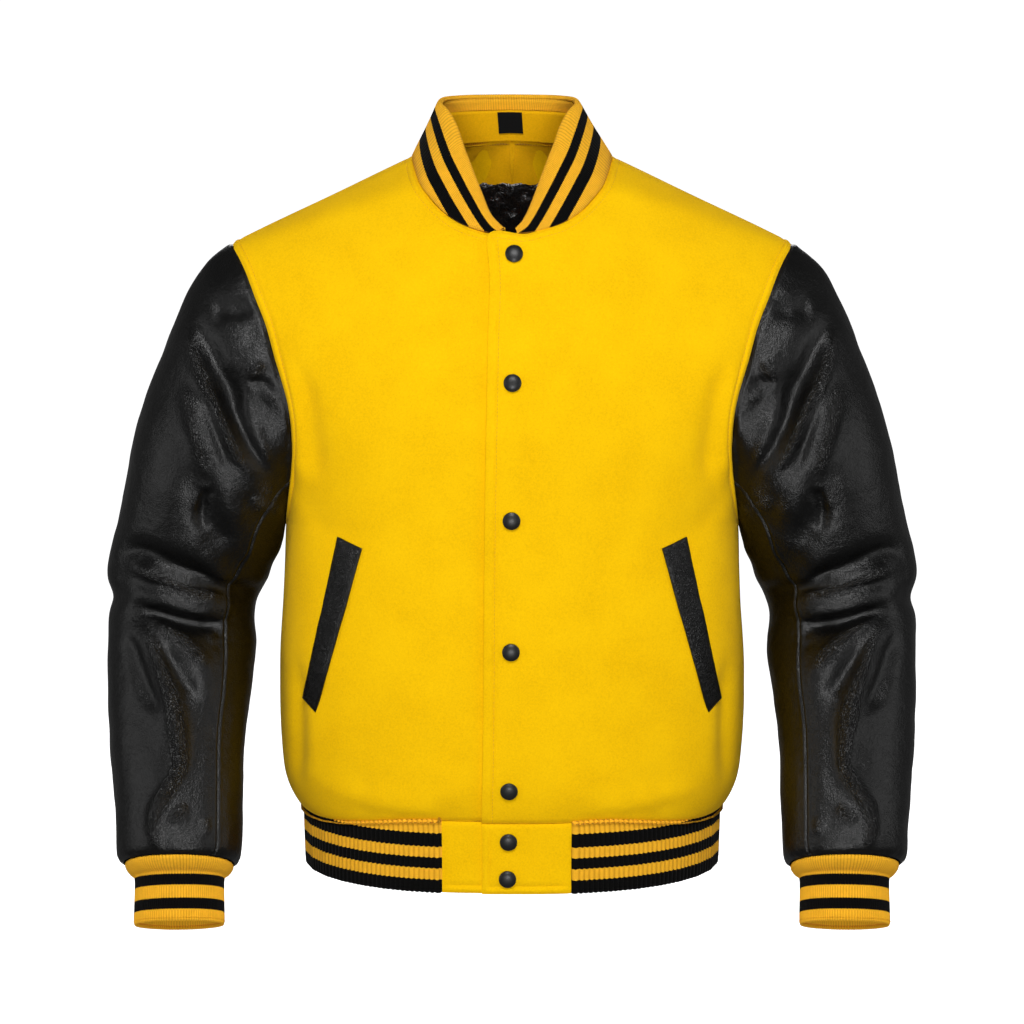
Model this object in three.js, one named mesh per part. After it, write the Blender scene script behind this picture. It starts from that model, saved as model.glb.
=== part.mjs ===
// Varsity jacket with wool body, leather sleeves and striped rib-knit trims, worn and filled out.
// Millimetres, +Z up, front faces -Y, +X is the wearer's left.
// Origin: middle of the neck base, at the height of the shoulders.
import * as THREE from 'three';
import { mergeVertices } from 'three/addons/utils/BufferGeometryUtils.js';

// Wall thicknesses
const WOOL = 2.5;
const LEATHER = 2;
const COLLAR_KNIT = 5;
const RIB_KNIT = 3;
const CUFF_EDGE_KNIT = 1.8;
const FACING = 1.2;
const LINING = 1;
const BAND = 1.2;
const LABEL = 0.8;
const WELT = 1.8;

// Clearances
const SEAM_GAP = 0.4;
const LAYER_GAP = 0.5;
const PLACKET_GAP = 0.8;
const WELT_GAP = 0.9;
const BAND_GAP = 0.8;
const LINING_GAP = 2;

// Grid of a body panel: rows up the side seam and the armhole, columns across. Towards the back neckline
// the columns gather over a few rows, so that the first two run along the facing.
const SIDE_ROWS = 9;
const ARMHOLE_ROWS = 14;
const PANEL_COLUMNS = 12;
const FRONT_NECK_ROWS = 8;
const BACK_NECK_ROWS = 6;
const FACING_COLUMNS = 2;
const GATHER_START = 4;
const GATHER_ROWS = 3;
const FOLD_FADE_CELLS = 2;

// Body heights
const UNDERARM_Z = -322;
const YOKE_Z = -250;
const HEM_FRONT_Z = -574;
const HEM_BACK_Z = -580;
const HEM_SIDE_Z = -588;
const BOTTOM_Z = -640;
const HEM_LEVEL = 72;
const ROW_SPREAD = 1.45;
const NECK_FRONT_Z = -57.6;
const LAST_ROW_BELOW_NECK = 30;
const BACK_NECK_DEPTH = 78;
const FACING_WIDTH = 36;
const FACING_BEND = 1.7;

// Shoulder line: height over x, straight from the neck point outwards, rising towards the middle
const NECK_HALF = 88.4;
const SHOULDER_SLOPE = 0.471;
const MIDDLE_RISE_FRONT = 20.8;
const MIDDLE_RISE_BACK = 38;

// Superellipse powers of the body's plan and of its profile over the shoulder
const PLAN_POWER = 2.4;
const FRONT_PROFILE_POWER = 1.7;
const BACK_PROFILE_POWER = 3;
const PROFILE_HEIGHT = 270;
const PROFILE_DEPTH = 120;

const BODY_WIDTHS = [
  { z: -588, half: 189 },
  { z: -577, half: 197.6 },
  { z: -564, half: 203.8 },
  { z: -544, half: 207.4 },
  { z: -510, half: 210.3 },
  { z: -450, half: 209.8 },
  { z: -401, half: 206.6 },
  { z: -358, half: 204.6 },
  { z: -322, half: 203.2 },
  { z: -300, half: 206.5 },
  { z: -250, half: 216 },
  { z: -200, half: 236 },
  { z: -150, half: 258 },
  { z: -110, half: 275 },
  { z: -77, half: 290 },
  { z: 0, half: 320 },
];

const BODY_DEPTHS = [
  { z: -588, front: 114, back: 108 },
  { z: -574, front: 121, back: 114 },
  { z: -560, front: 126, back: 119 },
  { z: -535, front: 129.5, back: 123 },
  { z: -480, front: 131, back: 124 },
  { z: -400, front: 129, back: 122 },
  { z: -322, front: 126.5, back: 119 },
  { z: -250, front: 125, back: 116 },
  { z: 0, front: 125, back: 116 },
];

// Armhole edge of the front and of the back: x over height
const ARMHOLE = [
  { z: -322, front: 203.2, back: 203.2 },
  { z: -300, front: 200.4, back: 203.4 },
  { z: -263, front: 195.6, back: 203.6 },
  { z: -235, front: 194.4, back: 206 },
  { z: -207, front: 197.5, back: 209 },
  { z: -187, front: 202.6, back: 212 },
  { z: -166, front: 209, back: 216 },
  { z: -144, front: 214.9, back: 221 },
  { z: -126, front: 222.4, back: 227 },
  { z: -104, front: 231.4, back: 234 },
  { z: -87, front: 240.2, back: 242 },
  { z: -75.5, front: 248.7, back: 248.7 },
];

// Front neckline from the placket's corner to the shoulder's neck point
const FRONT_NECKLINE = [
  { x: 4.5, z: -58.1 },
  { x: 20, z: -56.6 },
  { x: 36, z: -52.8 },
  { x: 50.5, z: -46.6 },
  { x: 63.5, z: -37.4 },
  { x: 74, z: -26.8 },
  { x: 82, z: -16 },
  { x: NECK_HALF, z: 0 },
];

// Front edges, as x towards the panel's own side: the left front overlaps, the right front goes under it
const LEFT_EDGE = [
  { z: -640, x: -27 },
  { z: -574, x: -26.8 },
  { z: -498, x: -25.5 },
  { z: -302, x: -23.8 },
  { z: -67, x: -19.5 },
  { z: 0, x: -19.5 },
];
const RIGHT_EDGE = [
  { z: -640, x: -20 },
  { z: 0, x: -20 },
];
const OVERLAP_FLAT = 34;
const OVERLAP_END = 84;

// Soft folds in the wool, seen from the front: line from top to bottom, height over the surface, half-width
const FRONT_FOLDS = [
  { x1: 186, z1: -250, x2: 150, z2: -330, height: -2.2, width: 20 },
  { x1: 192, z1: -330, x2: 170, z2: -430, height: 2, width: 22 },
  { x1: 184, z1: -470, x2: 188, z2: -565, height: -3, width: 14 },
  { x1: 60, z1: -545, x2: 130, z2: -552, height: 2.2, width: 18 },
  { x1: 112, z1: -480, x2: 150, z2: -540, height: -2, width: 20 },
  { x1: 150, z1: -110, x2: 120, z2: -200, height: -1.5, width: 26 },
];
const BACK_FOLDS = [
  { x1: 180, z1: -190, x2: 150, z2: -330, height: -3, width: 22 },
  { x1: 120, z1: -120, x2: 105, z2: -260, height: 1.8, width: 24 },
  { x1: 170, z1: -380, x2: 150, z2: -520, height: -2.4, width: 20 },
  { x1: 70, z1: -440, x2: 60, z2: -560, height: 2.2, width: 20 },
  { x1: 20, z1: -548, x2: 130, z2: -552, height: 2, width: 16 },
];

// Sleeve columns, counted from the sleeve's outer line over its front seam, inner line and back seam
const FRONT_SEAM_COLUMN = 10;
const INNER_LINE_COLUMN = 14;
const BACK_SEAM_COLUMN = 19;
const SLEEVE_COLUMNS = 28;
const FRONT_SEAM_ANGLE = 130;
const SLEEVE_POWER = 2.2;

// Sleeve sections: outer and inner line in the front view, depth of the centre, half-depth, and tilt of the
// section in degrees. The first row is the armhole itself; release goes from its own outline (0) to the
// plain section (1).
const SLEEVE_SECTIONS = [
  { ox: 248.7, oz: -75.5, ix: 203.4, iz: -322, y: -3, depth: 66, tilt: 0, release: 0 },
  { ox: 262, oz: -84.4, ix: 203.6, iz: -325, y: -3, depth: 68, tilt: 0, release: 0.1 },
  { ox: 275.5, oz: -97.4, ix: 203.9, iz: -327.4, y: -3, depth: 70, tilt: 0, release: 0.24 },
  { ox: 287.4, oz: -116.6, ix: 204.2, iz: -329.8, y: -2, depth: 72, tilt: 0, release: 0.4 },
  { ox: 299, oz: -142, ix: 204.5, iz: -332.2, y: -2, depth: 74, tilt: 0, release: 0.56 },
  { ox: 311, oz: -170.8, ix: 204.9, iz: -334.6, y: -1, depth: 75.5, tilt: 0, release: 0.7 },
  { ox: 322.6, oz: -200.4, ix: 205.3, iz: -337, y: 0, depth: 76, tilt: 0, release: 0.82 },
  { ox: 333, oz: -231, ix: 205.8, iz: -339.6, y: 0, depth: 76.5, tilt: 0, release: 0.91 },
  { ox: 341, oz: -260, ix: 206.5, iz: -342.6, y: 0, depth: 76.5, tilt: 0, release: 0.97 },
  { ox: 347, oz: -290, ix: 207.8, iz: -347, y: 1, depth: 76, tilt: 0, release: 1 },
  { ox: 352.4, oz: -317, ix: 210.4, iz: -355, y: 2, depth: 75, tilt: 1, release: 1 },
  { ox: 358, oz: -340, ix: 215.6, iz: -366, y: 3, depth: 73.5, tilt: 3, release: 1 },
  { ox: 364.4, oz: -364, ix: 220.4, iz: -380, y: 3, depth: 72, tilt: 6, release: 1 },
  { ox: 364.6, oz: -382, ix: 227, iz: -391.5, y: 2, depth: 70, tilt: 10, release: 1 },
  { ox: 359.6, oz: -397, ix: 231.6, iz: -405, y: -1, depth: 68, tilt: 14, release: 1 },
  { ox: 363.2, oz: -412.5, ix: 232, iz: -420, y: -6, depth: 68, tilt: 18, release: 1 },
  { ox: 364.2, oz: -433, ix: 230.7, iz: -437, y: -14, depth: 67, tilt: 22, release: 1 },
  { ox: 363.4, oz: -458, ix: 233, iz: -460, y: -26, depth: 65.5, tilt: 25, release: 1 },
  { ox: 362.4, oz: -486, ix: 236.4, iz: -488, y: -39, depth: 63, tilt: 26, release: 1 },
  { ox: 360.3, oz: -516, ix: 239, iz: -517, y: -54, depth: 61, tilt: 26, release: 1 },
  { ox: 356.6, oz: -547, ix: 240, iz: -547, y: -71, depth: 58.5, tilt: 26, release: 1 },
  { ox: 353, oz: -578, ix: 240.6, iz: -577, y: -87, depth: 56, tilt: 27, release: 1 },
  { ox: 351.6, oz: -601, ix: 240.4, iz: -600, y: -99, depth: 54, tilt: 27, release: 1 },
  { ox: 350, oz: -611.4, ix: 241.4, iz: -611, y: -104, depth: 52.5, tilt: 27, release: 1 },
  { ox: 346, oz: -617.4, ix: 245, iz: -617, y: -107.3, depth: 49.5, tilt: 27, release: 1 },
  { ox: 342.6, oz: -617, ix: 248.2, iz: -616.6, y: -107, depth: 46.5, tilt: 27, release: 1 },
];

// Largest folds of the leather, as lines in the front view; height over the surface, half-width. They fade
// out over the rings next to the armhole and the cuff, and where the surface turns sideways.
const SLEEVE_FADE = { armholeRings: 2, cuffRings: 3, facing: 0.55 };
const SLEEVE_FRONT_FOLDS = [
  { x1: 283, z1: -146, x2: 272, z2: -226, height: 4, width: 15 },
  { x1: 272, z1: -226, x2: 254, z2: -300, height: 5, width: 14 },
  { x1: 240, z1: -196, x2: 204, z2: -212, height: -6, width: 15 },
  { x1: 268, z1: -296, x2: 236, z2: -388, height: -5, width: 13 },
  { x1: 232, z1: -250, x2: 238, z2: -284, height: 4, width: 15 },
  { x1: 350, z1: -366, x2: 246, z2: -384, height: -5, width: 10 },
  { x1: 334, z1: -380, x2: 250, z2: -392, height: 4.5, width: 10 },
  { x1: 326, z1: -398, x2: 246, z2: -414, height: -4.5, width: 10 },
  { x1: 322, z1: -424, x2: 300, z2: -486, height: 4.5, width: 14 },
  { x1: 300, z1: -486, x2: 306, z2: -566, height: 3.5, width: 14 },
  { x1: 294, z1: -424, x2: 262, z2: -474, height: 3.5, width: 12 },
];
const SLEEVE_BACK_FOLDS = [
  { x1: 300, z1: -160, x2: 250, z2: -250, height: 5, width: 16 },
  { x1: 262, z1: -180, x2: 226, z2: -270, height: -5, width: 14 },
  { x1: 330, z1: -290, x2: 250, z2: -340, height: -3.5, width: 14 },
  { x1: 340, z1: -376, x2: 262, z2: -372, height: 3, width: 14 },
  { x1: 330, z1: -450, x2: 300, z2: -520, height: 3, width: 15 },
  { x1: 270, z1: -470, x2: 284, z2: -560, height: -3, width: 13 },
];

// Cuff sections along its axis: distance from the sleeve's hem, half-width and half-depth
const CUFF_LENGTH = 52;
const CUFF_END = { x: 294.2, y: -130.3, z: -664.2 };
const CUFF_SECTIONS = [
  { along: 0, half: 47.2, depth: 46.5 },
  { along: 4, half: 46.4, depth: 43 },
  { along: 9.5, half: 41.8, depth: 36 },
  { along: 16, half: 38.6, depth: 30.5 },
  { along: 46, half: 38.8, depth: 25.5 },
  { along: 52, half: 37.2, depth: 23.5 },
];
const CUFF_EASE = 8;

// Top edge of the stand collar from the front end to the middle of the back
const COLLAR_TOP = [
  { x: 6.4, y: -77, z: -53.6 },
  { x: 16, y: -70, z: -41 },
  { x: 24.5, y: -61.5, z: -25 },
  { x: 32.5, y: -52.5, z: -10 },
  { x: 40.5, y: -42.5, z: 5 },
  { x: 48.5, y: -31.5, z: 19.5 },
  { x: 56, y: -19, z: 32 },
  { x: 62.5, y: -6, z: 42 },
  { x: 66.8, y: 7, z: 48.5 },
  { x: 67, y: 21, z: 51.4 },
  { x: 61.5, y: 38, z: 52 },
  { x: 50, y: 50.5, z: 52 },
  { x: 34, y: 59, z: 51.8 },
  { x: 17, y: 63.6, z: 51.6 },
  { x: 0, y: 65, z: 51.6 },
];
const COLLAR_LEVELS = [0, 0.3, 0.66, 0.93, 1];
const COLLAR_ROLL = 1.2;
const COLLAR_LEAN = 3.2;
const COLLAR_END_SHARE = 0.5;
const COLLAR_END_COLUMNS = 3;
const BAND_LEVELS = [0.16, 0.3, 0.66, 0.7];
const BAND_COLUMNS_FROM_BACK = 6;
const LABEL_SIZE = { width: 22, height: 20 };
const LABEL_LEAN = 0.3;

// Waistband: its plan draws in below the seam and stays so to the bottom; ribs raised outside
const HEM_DRAW_IN = 0.4;
const HEM_LEVELS = [0, 0.12, 1];
const TAB_LEVELS = [0, HEM_DRAW_IN, 1];
const HEM_INNER_STEP = 8;
const HEM_BOTTOM_HALF = 187.4;
const HEM_BOTTOM_FRONT = 113;
const HEM_BOTTOM_BACK = 106;
const TAB_LEFT_END = 52.7;
const TAB_RIGHT_END = 62.4;
const HEM_RIBS = 192;
const HEM_RIB_HEIGHT = 0.8;

// Slanted pocket welts: corners in the front view, the lower end cut to a point
const WELT_ROWS = 11;
const WELT_CORNERS = {
  topOuter: { x: 152.1, z: -322.9 },
  topInner: { x: 130.5, z: -331 },
  lowInner: { x: 172.9, z: -482.9 },
  lowOuter: { x: 184.9, z: -472.8 },
};

// Snap caps on the placket
const SNAP_RADIUS = 7.75;
const SNAP_PLACES = [
  { x: 1.8, z: -74.1 },
  { x: 0.4, z: -182.1 },
  { x: -0.4, z: -301.6 },
  { x: -0.9, z: -417.5 },
  { x: -2.6, z: -542.9 },
  { x: -3.1, z: -591.5 },
  { x: -4, z: -625.5 },
];
const SNAP_PROFILE = [
  { r: 0, z: 0 },
  { r: 6.6, z: 0 },
  { r: SNAP_RADIUS, z: 0.9 },
  { r: 7.1, z: 2.2 },
  { r: 4.6, z: 3.4 },
  { r: 0, z: 3.9 },
];
const SNAP_SIDES = 14;

// Two edges share a direction at a seam once they are less than a right angle and a bit apart
const SEAM_TURN = { from: -0.2, span: 0.7 };

const fabric = (color, roughness) => new THREE.MeshStandardMaterial({ color, roughness, metalness: 0 });
const wool = fabric(0xf8c30a, 0.95);
const leather = fabric(0x1b1b1c, 0.42);
const knit = fabric(0xeba834, 0.9);
const satin = fabric(0x101012, 0.35);
const labelCloth = fabric(0x0c0c0d, 0.8);
const snapPaint = new THREE.MeshStandardMaterial({ color: 0x1a1c1e, roughness: 0.25, metalness: 0.6 });

const jacket = new THREE.Group();
const vector = (x, y, z) => new THREE.Vector3(x, y, z);
const lerp = (a, b, t) => a + (b - a) * t;
const smoothstep = (t) => THREE.MathUtils.smoothstep(t, 0, 1);
const degrees = (angle) => THREE.MathUtils.degToRad(angle);
const range = (from, to) => Array.from({ length: to - from + 1 }, (_, k) => from + k);
const signedPower = (value, power) => Math.sign(value) * Math.abs(value) ** power;

// Reads a named column of a table at a key, along a smooth curve through its rows
function read(table, key, column, at) {
  const last = table.length - 1;
  let i = 0;
  while (i < last - 1 && (table[i + 1][key] - at) * (table[last][key] - table[0][key]) < 0) i += 1;
  const slope = (k) => {
    const before = table[Math.max(k - 1, 0)];
    const after = table[Math.min(k + 1, last)];
    return (after[column] - before[column]) / (after[key] - before[key]);
  };
  const a = table[i];
  const b = table[i + 1];
  const span = b[key] - a[key];
  const t = THREE.MathUtils.clamp((at - a[key]) / span, 0, 1);
  const t2 = t * t;
  const t3 = t2 * t;
  return (2 * t3 - 3 * t2 + 1) * a[column] + (t3 - 2 * t2 + t) * span * slope(i)
    + (3 * t2 - 2 * t3) * b[column] + (t3 - t2) * span * slope(i + 1);
}

// Profile over the shoulder: arc length against rise (0 to 1) and remaining depth (1 to 0)
function profileTable(power) {
  const rows = [{ arc: 0, rise: 0, depth: 1 }];
  const steps = 160;
  for (let k = 1; k <= steps; k += 1) {
    const angle = (k / steps) * Math.PI / 2;
    const rise = Math.sin(angle) ** (2 / power);
    const depth = Math.max(Math.cos(angle), 0) ** (2 / power);
    const from = rows[k - 1];
    const step = Math.hypot((rise - from.rise) * PROFILE_HEIGHT, (depth - from.depth) * PROFILE_DEPTH);
    rows.push({ arc: from.arc + step, rise, depth: k === steps ? 0 : depth });
  }
  return rows;
}

function lookUp(rows, key, at, column) {
  let low = 0;
  let high = rows.length - 1;
  while (high - low > 1) {
    const middle = (low + high) >> 1;
    if (rows[middle][key] <= at) low = middle;
    else high = middle;
  }
  const t = THREE.MathUtils.clamp((at - rows[low][key]) / (rows[high][key] - rows[low][key]), 0, 1);
  return lerp(rows[low][column], rows[high][column], t);
}

// The body's outer surface, front or back: a point from x and the arc length over the shoulder
function bodySide(name, facing, power, middleRise, hem) {
  const profile = profileTable(power);
  const shoulder = (x) => {
    const inside = Math.max(1 - (x / NECK_HALF) ** 2, 0);
    const straight = -SHOULDER_SLOPE * Math.max(Math.abs(x) - NECK_HALF, 0);
    return straight + SHOULDER_SLOPE * NECK_HALF / 2 * inside
      + (middleRise - SHOULDER_SLOPE * NECK_HALF / 2) * inside * inside;
  };
  const at = (x, arc) => {
    const rise = arc > 0 ? lookUp(profile, 'arc', arc, 'rise') : 0;
    const z = arc > 0 ? YOKE_Z + rise * (shoulder(x) - YOKE_Z) : YOKE_Z + arc;
    const depth = arc > 0 ? lookUp(profile, 'arc', arc, 'depth') : 1;
    const across = Math.min(Math.abs(x) / read(BODY_WIDTHS, 'z', 'half', z), 1);
    const plan = (1 - across ** PLAN_POWER) ** (1 / PLAN_POWER);
    return vector(x, facing * read(BODY_DEPTHS, 'z', name, z) * plan * depth, z);
  };
  const arcOf = (x, z) => {
    if (z <= YOKE_Z) return z - YOKE_Z;
    return lookUp(profile, 'rise', Math.min((z - YOKE_Z) / (shoulder(x) - YOKE_Z), 1), 'arc');
  };
  const full = profile[profile.length - 1].arc;
  return { at, arcOf, full, name, hem };
}
const frontSide = bodySide('front', -1, FRONT_PROFILE_POWER, MIDDLE_RISE_FRONT, HEM_FRONT_Z);
const backSide = bodySide('back', 1, BACK_PROFILE_POWER, MIDDLE_RISE_BACK, HEM_BACK_Z);

// Points of one row of a panel between two places, at fractions of its length. A row below the underarm
// follows the hem, level at the middle and lower at the side; one above it goes from place to place.
function panelRow(side, inner, outer, up, bend, fractions) {
  const place = (t) => {
    const u = 1 - (1 - t) ** 2;
    const x = lerp(inner.x, outer.x, u);
    if (up >= 1) return side.at(x, lerp(inner.arc, outer.arc, u ** bend));
    const drop = smoothstep((x - HEM_LEVEL) / (outer.x - HEM_LEVEL));
    const hem = lerp(side.hem, HEM_SIDE_Z, drop);
    return side.at(x, lerp(hem, UNDERARM_Z, up) - YOKE_Z);
  };
  const steps = 240;
  const lengths = [{ length: 0, t: 0 }];
  let from = place(0);
  for (let k = 1; k <= steps; k += 1) {
    const to = place(k / steps);
    lengths.push({ length: lengths[k - 1].length + to.distanceTo(from), t: k / steps });
    from = to;
  }
  const total = lengths[steps].length;
  return fractions(total).map((f) => place(lookUp(lengths, 'length', f * total, 't')));
}

const sleeveAngle = (column) => {
  const mirrored = column > INNER_LINE_COLUMN ? SLEEVE_COLUMNS - column : column;
  const lower = (180 - FRONT_SEAM_ANGLE) / (INNER_LINE_COLUMN - FRONT_SEAM_COLUMN);
  const angle = mirrored <= FRONT_SEAM_COLUMN
    ? mirrored * FRONT_SEAM_ANGLE / FRONT_SEAM_COLUMN
    : FRONT_SEAM_ANGLE + (mirrored - FRONT_SEAM_COLUMN) * lower;
  return degrees(column > INNER_LINE_COLUMN ? 360 - angle : angle);
};

// How far up the side seam a row lies, closer together at the hem
const sideRow = (k) => Math.min(k / SIDE_ROWS, 1) ** ROW_SPREAD;

// Outer ends of the rows: up the side seam, then round the armhole
function outerPlaces(side) {
  const places = [];
  for (let k = 0; k < SIDE_ROWS; k += 1) {
    const z = lerp(HEM_SIDE_Z, UNDERARM_Z, sideRow(k));
    places.push({ x: read(BODY_WIDTHS, 'z', 'half', z), z, arc: z - YOKE_Z });
  }
  const top = ARMHOLE[ARMHOLE.length - 1].z;
  for (let k = 0; k <= ARMHOLE_ROWS; k += 1) {
    const angle = sleeveAngle(ARMHOLE_ROWS - k);
    const z = lerp(UNDERARM_Z, top, (1 + signedPower(Math.cos(angle), 2 / SLEEVE_POWER)) / 2);
    const x = read(ARMHOLE, 'z', side.name, z);
    places.push({ x, z, arc: k === ARMHOLE_ROWS ? side.full : side.arcOf(x, z) });
  }
  return places;
}

const rowHeights = (from, to, count) => Array.from({ length: count }, (_, k) => lerp(from, to, k / count));

function middleHeights(hemZ, neckZ, neckRows, lastZ) {
  const sideRows = range(0, SIDE_ROWS - 1).map((k) => lerp(hemZ, UNDERARM_Z, sideRow(k)));
  const upperRows = ARMHOLE_ROWS - neckRows;
  const upper = rowHeights(UNDERARM_Z, lastZ, upperRows - 1);
  return [...sideRows, ...upper, lastZ, neckZ];
}

// A front panel's points, drawn with x towards its own side
function frontGrid(edge, lift) {
  const lastZ = NECK_FRONT_Z - LAST_ROW_BELOW_NECK;
  const heights = middleHeights(HEM_FRONT_Z, NECK_FRONT_Z, FRONT_NECK_ROWS, lastZ);
  const inner = heights.map((z) => ({ x: read(edge, 'z', 'x', z), z }));
  inner.push(...FRONT_NECKLINE);
  const outer = outerPlaces(frontSide);
  const evenly = () => range(0, PANEL_COLUMNS).map((j) => j / PANEL_COLUMNS);
  const rows = inner.map((place, i) => {
    const last = i === inner.length - 1;
    const arc = last ? frontSide.full : frontSide.arcOf(place.x, place.z);
    return panelRow(frontSide, { x: place.x, arc }, outer[i], sideRow(i), 1, evenly);
  });
  addFolds(rows, FRONT_FOLDS, -1);
  const normals = gridNormals(rows, false, 1);
  rows.forEach((row, i) => row.forEach((point, j) => {
    const ease = 1 - smoothstep((point.x - OVERLAP_FLAT) / (OVERLAP_END - OVERLAP_FLAT));
    point.addScaledVector(normals[i][j], lift * ease);
  }));
  return rows;
}

// Half of the back panel, from the middle of the back to the side
function backGrid() {
  const neckTop = heightAtDepth(BACK_NECK_DEPTH);
  const heights = middleHeights(HEM_BACK_Z, neckTop, BACK_NECK_ROWS, neckTop - FACING_WIDTH);
  const inner = heights.map((z) => ({ x: 0, arc: backSide.arcOf(0, z) }));
  for (let k = 1; k <= BACK_NECK_ROWS; k += 1) {
    const turn = (k / BACK_NECK_ROWS) * Math.PI / 2;
    const x = NECK_HALF * Math.sin(turn) ** (2 / SLEEVE_POWER);
    const y = BACK_NECK_DEPTH * Math.max(Math.cos(turn), 0) ** (2 / SLEEVE_POWER);
    inner.push({ x, arc: k === BACK_NECK_ROWS ? backSide.full : arcAtDepth(x, y) });
  }
  const outer = outerPlaces(backSide);
  const neckRow = SIDE_ROWS + ARMHOLE_ROWS - BACK_NECK_ROWS;
  const rows = inner.map((place, i) => {
    const near = THREE.MathUtils.clamp((i - neckRow + GATHER_START) / GATHER_ROWS, 0, 1);
    const columns = (total) => range(0, PANEL_COLUMNS).map((j) => {
      const facing = FACING_WIDTH / total;
      const beyond = (j - FACING_COLUMNS) / (PANEL_COLUMNS - FACING_COLUMNS);
      const beside = beyond <= 0 ? facing * j / FACING_COLUMNS : lerp(facing, 1, beyond);
      return lerp(j / PANEL_COLUMNS, beside, near);
    });
    const bend = i < neckRow ? FACING_BEND : 1;
    return panelRow(backSide, place, outer[i], sideRow(i), bend, columns);
  });
  addFolds(rows, BACK_FOLDS, 1);
  return rows;
}

// Arc length at which the back's surface reaches a depth, for a given x
function arcAtDepth(x, y) {
  let low = 0;
  let high = backSide.full;
  for (let k = 0; k < 50; k += 1) {
    const middle = (low + high) / 2;
    if (backSide.at(x, middle).y > y) low = middle;
    else high = middle;
  }
  return low;
}

function heightAtDepth(y) {
  return backSide.at(0, arcAtDepth(0, y)).z;
}

// Height of the folds at a place in the front view
function foldHeight(folds, x, z) {
  let height = 0;
  for (const fold of folds) {
    const dx = fold.x2 - fold.x1;
    const dz = fold.z2 - fold.z1;
    const t = THREE.MathUtils.clamp(((x - fold.x1) * dx + (z - fold.z1) * dz) / (dx * dx + dz * dz), 0, 1);
    const distance = Math.hypot(x - fold.x1 - t * dx, z - fold.z1 - t * dz);
    height += fold.height * Math.exp(-((distance / fold.width) ** 2));
  }
  return height;
}

// Raises a panel's folds, fading out in the cells next to its edges
function addFolds(rows, folds, facing) {
  const lastRow = rows.length - 1;
  rows.forEach((row, i) => {
    const lastColumn = row.length - 1;
    row.forEach((point, j) => {
      const cells = Math.min(i, lastRow - i, j, lastColumn - j);
      point.y += facing * foldHeight(folds, point.x, point.z) * Math.min(cells / FOLD_FADE_CELLS, 1);
    });
  });
}

// Normals of a grid, from the differences between neighbours; around: its columns close on themselves
function gridNormals(grid, around, outward) {
  const lastRow = grid.length - 1;
  const count = grid[0].length;
  return grid.map((row, i) => row.map((_, j) => {
    const left = around ? (j + count - 1) % count : Math.max(j - 1, 0);
    const right = around ? (j + 1) % count : Math.min(j + 1, count - 1);
    const across = row[right].clone().sub(row[left]);
    const along = grid[Math.min(i + 1, lastRow)][j].clone().sub(grid[Math.max(i - 1, 0)][j]);
    return across.cross(along).multiplyScalar(outward).normalize();
  }));
}

// Gives two edges that meet at a seam a common direction, unless they face each other
function shareNormals(first, second) {
  first.forEach((a, k) => {
    const b = second[k];
    const weight = smoothstep((a.dot(b) - SEAM_TURN.from) / SEAM_TURN.span);
    const common = a.clone().add(b);
    if (common.length() < 1e-6) return;
    common.normalize();
    a.lerp(common, weight).normalize();
    b.lerp(common, weight).normalize();
  });
}

// Moves the points of an edge towards their inner neighbours by half a seam's gap
function drawBack(edge, neighbours, distance = SEAM_GAP / 2) {
  edge.forEach((point, k) => {
    const step = neighbours[k].clone().sub(point).normalize().multiplyScalar(distance);
    point.add(step);
  });
}

const column = (grid, j) => grid.map((row) => row.at(j));
const copyGrid = (grid) => grid.map((row) => row.map((point) => point.clone()));

// Closed wall from one or more grids that share points: outer faces, inner faces, a rim on each free edge
function wallGeometry(patches, thickness) {
  const keys = new Map();
  const outer = [];
  const inner = [];
  const faces = [];
  const keyOf = (p) => [p.x, p.y, p.z].map((v) => Math.round(v * 1000)).join(',');
  for (const { grid, normals, around = false, flip = false, depths = null } of patches) {
    const index = grid.map((row, i) => row.map((point, j) => {
      const key = keyOf(point);
      if (!keys.has(key)) {
        keys.set(key, outer.length);
        outer.push(point.clone());
        const depth = depths ? depths[i] : thickness;
        inner.push(point.clone().addScaledVector(normals[i][j], -depth));
      }
      return keys.get(key);
    }));
    for (let i = 0; i < grid.length - 1; i += 1) {
      const count = grid[i].length;
      for (let j = 0; j < (around ? count : count - 1); j += 1) {
        const k = (j + 1) % count;
        const corners = [index[i][j], index[i][k], index[i + 1][k], index[i + 1][j]];
        if (flip) corners.reverse();
        const [a, b, c, d] = corners;
        const straight = outer[a].distanceTo(outer[c]) <= outer[b].distanceTo(outer[d]);
        faces.push(...(straight ? [[a, b, c], [a, c, d]] : [[a, b, d], [b, c, d]]));
      }
    }
  }
  return closeWall(outer, inner, faces);
}

function closeWall(outer, inner, faces) {
  const shift = outer.length;
  const edges = new Map();
  for (const face of faces) {
    for (let k = 0; k < 3; k += 1) {
      const edge = [face[k], face[(k + 1) % 3]];
      edges.set(edge.join(), edge);
    }
  }
  const all = [...faces, ...faces.map(([a, b, c]) => [c + shift, b + shift, a + shift])];
  for (const [a, b] of edges.values()) {
    if (!edges.has(`${b},${a}`)) all.push([b, a, a + shift], [b, a + shift, b + shift]);
  }
  return bodyGeometry([...outer, ...inner], all);
}

function bodyGeometry(points, faces) {
  const geometry = new THREE.BufferGeometry();
  const positions = points.flatMap((p) => [p.x, p.y, p.z]);
  geometry.setAttribute('position', new THREE.Float32BufferAttribute(positions, 3));
  geometry.setIndex(faces.flat());
  return geometry;
}

function add(name, geometry, material) {
  const mesh = new THREE.Mesh(geometry, material);
  mesh.name = name;
  jacket.add(mesh);
  return mesh;
}

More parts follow.
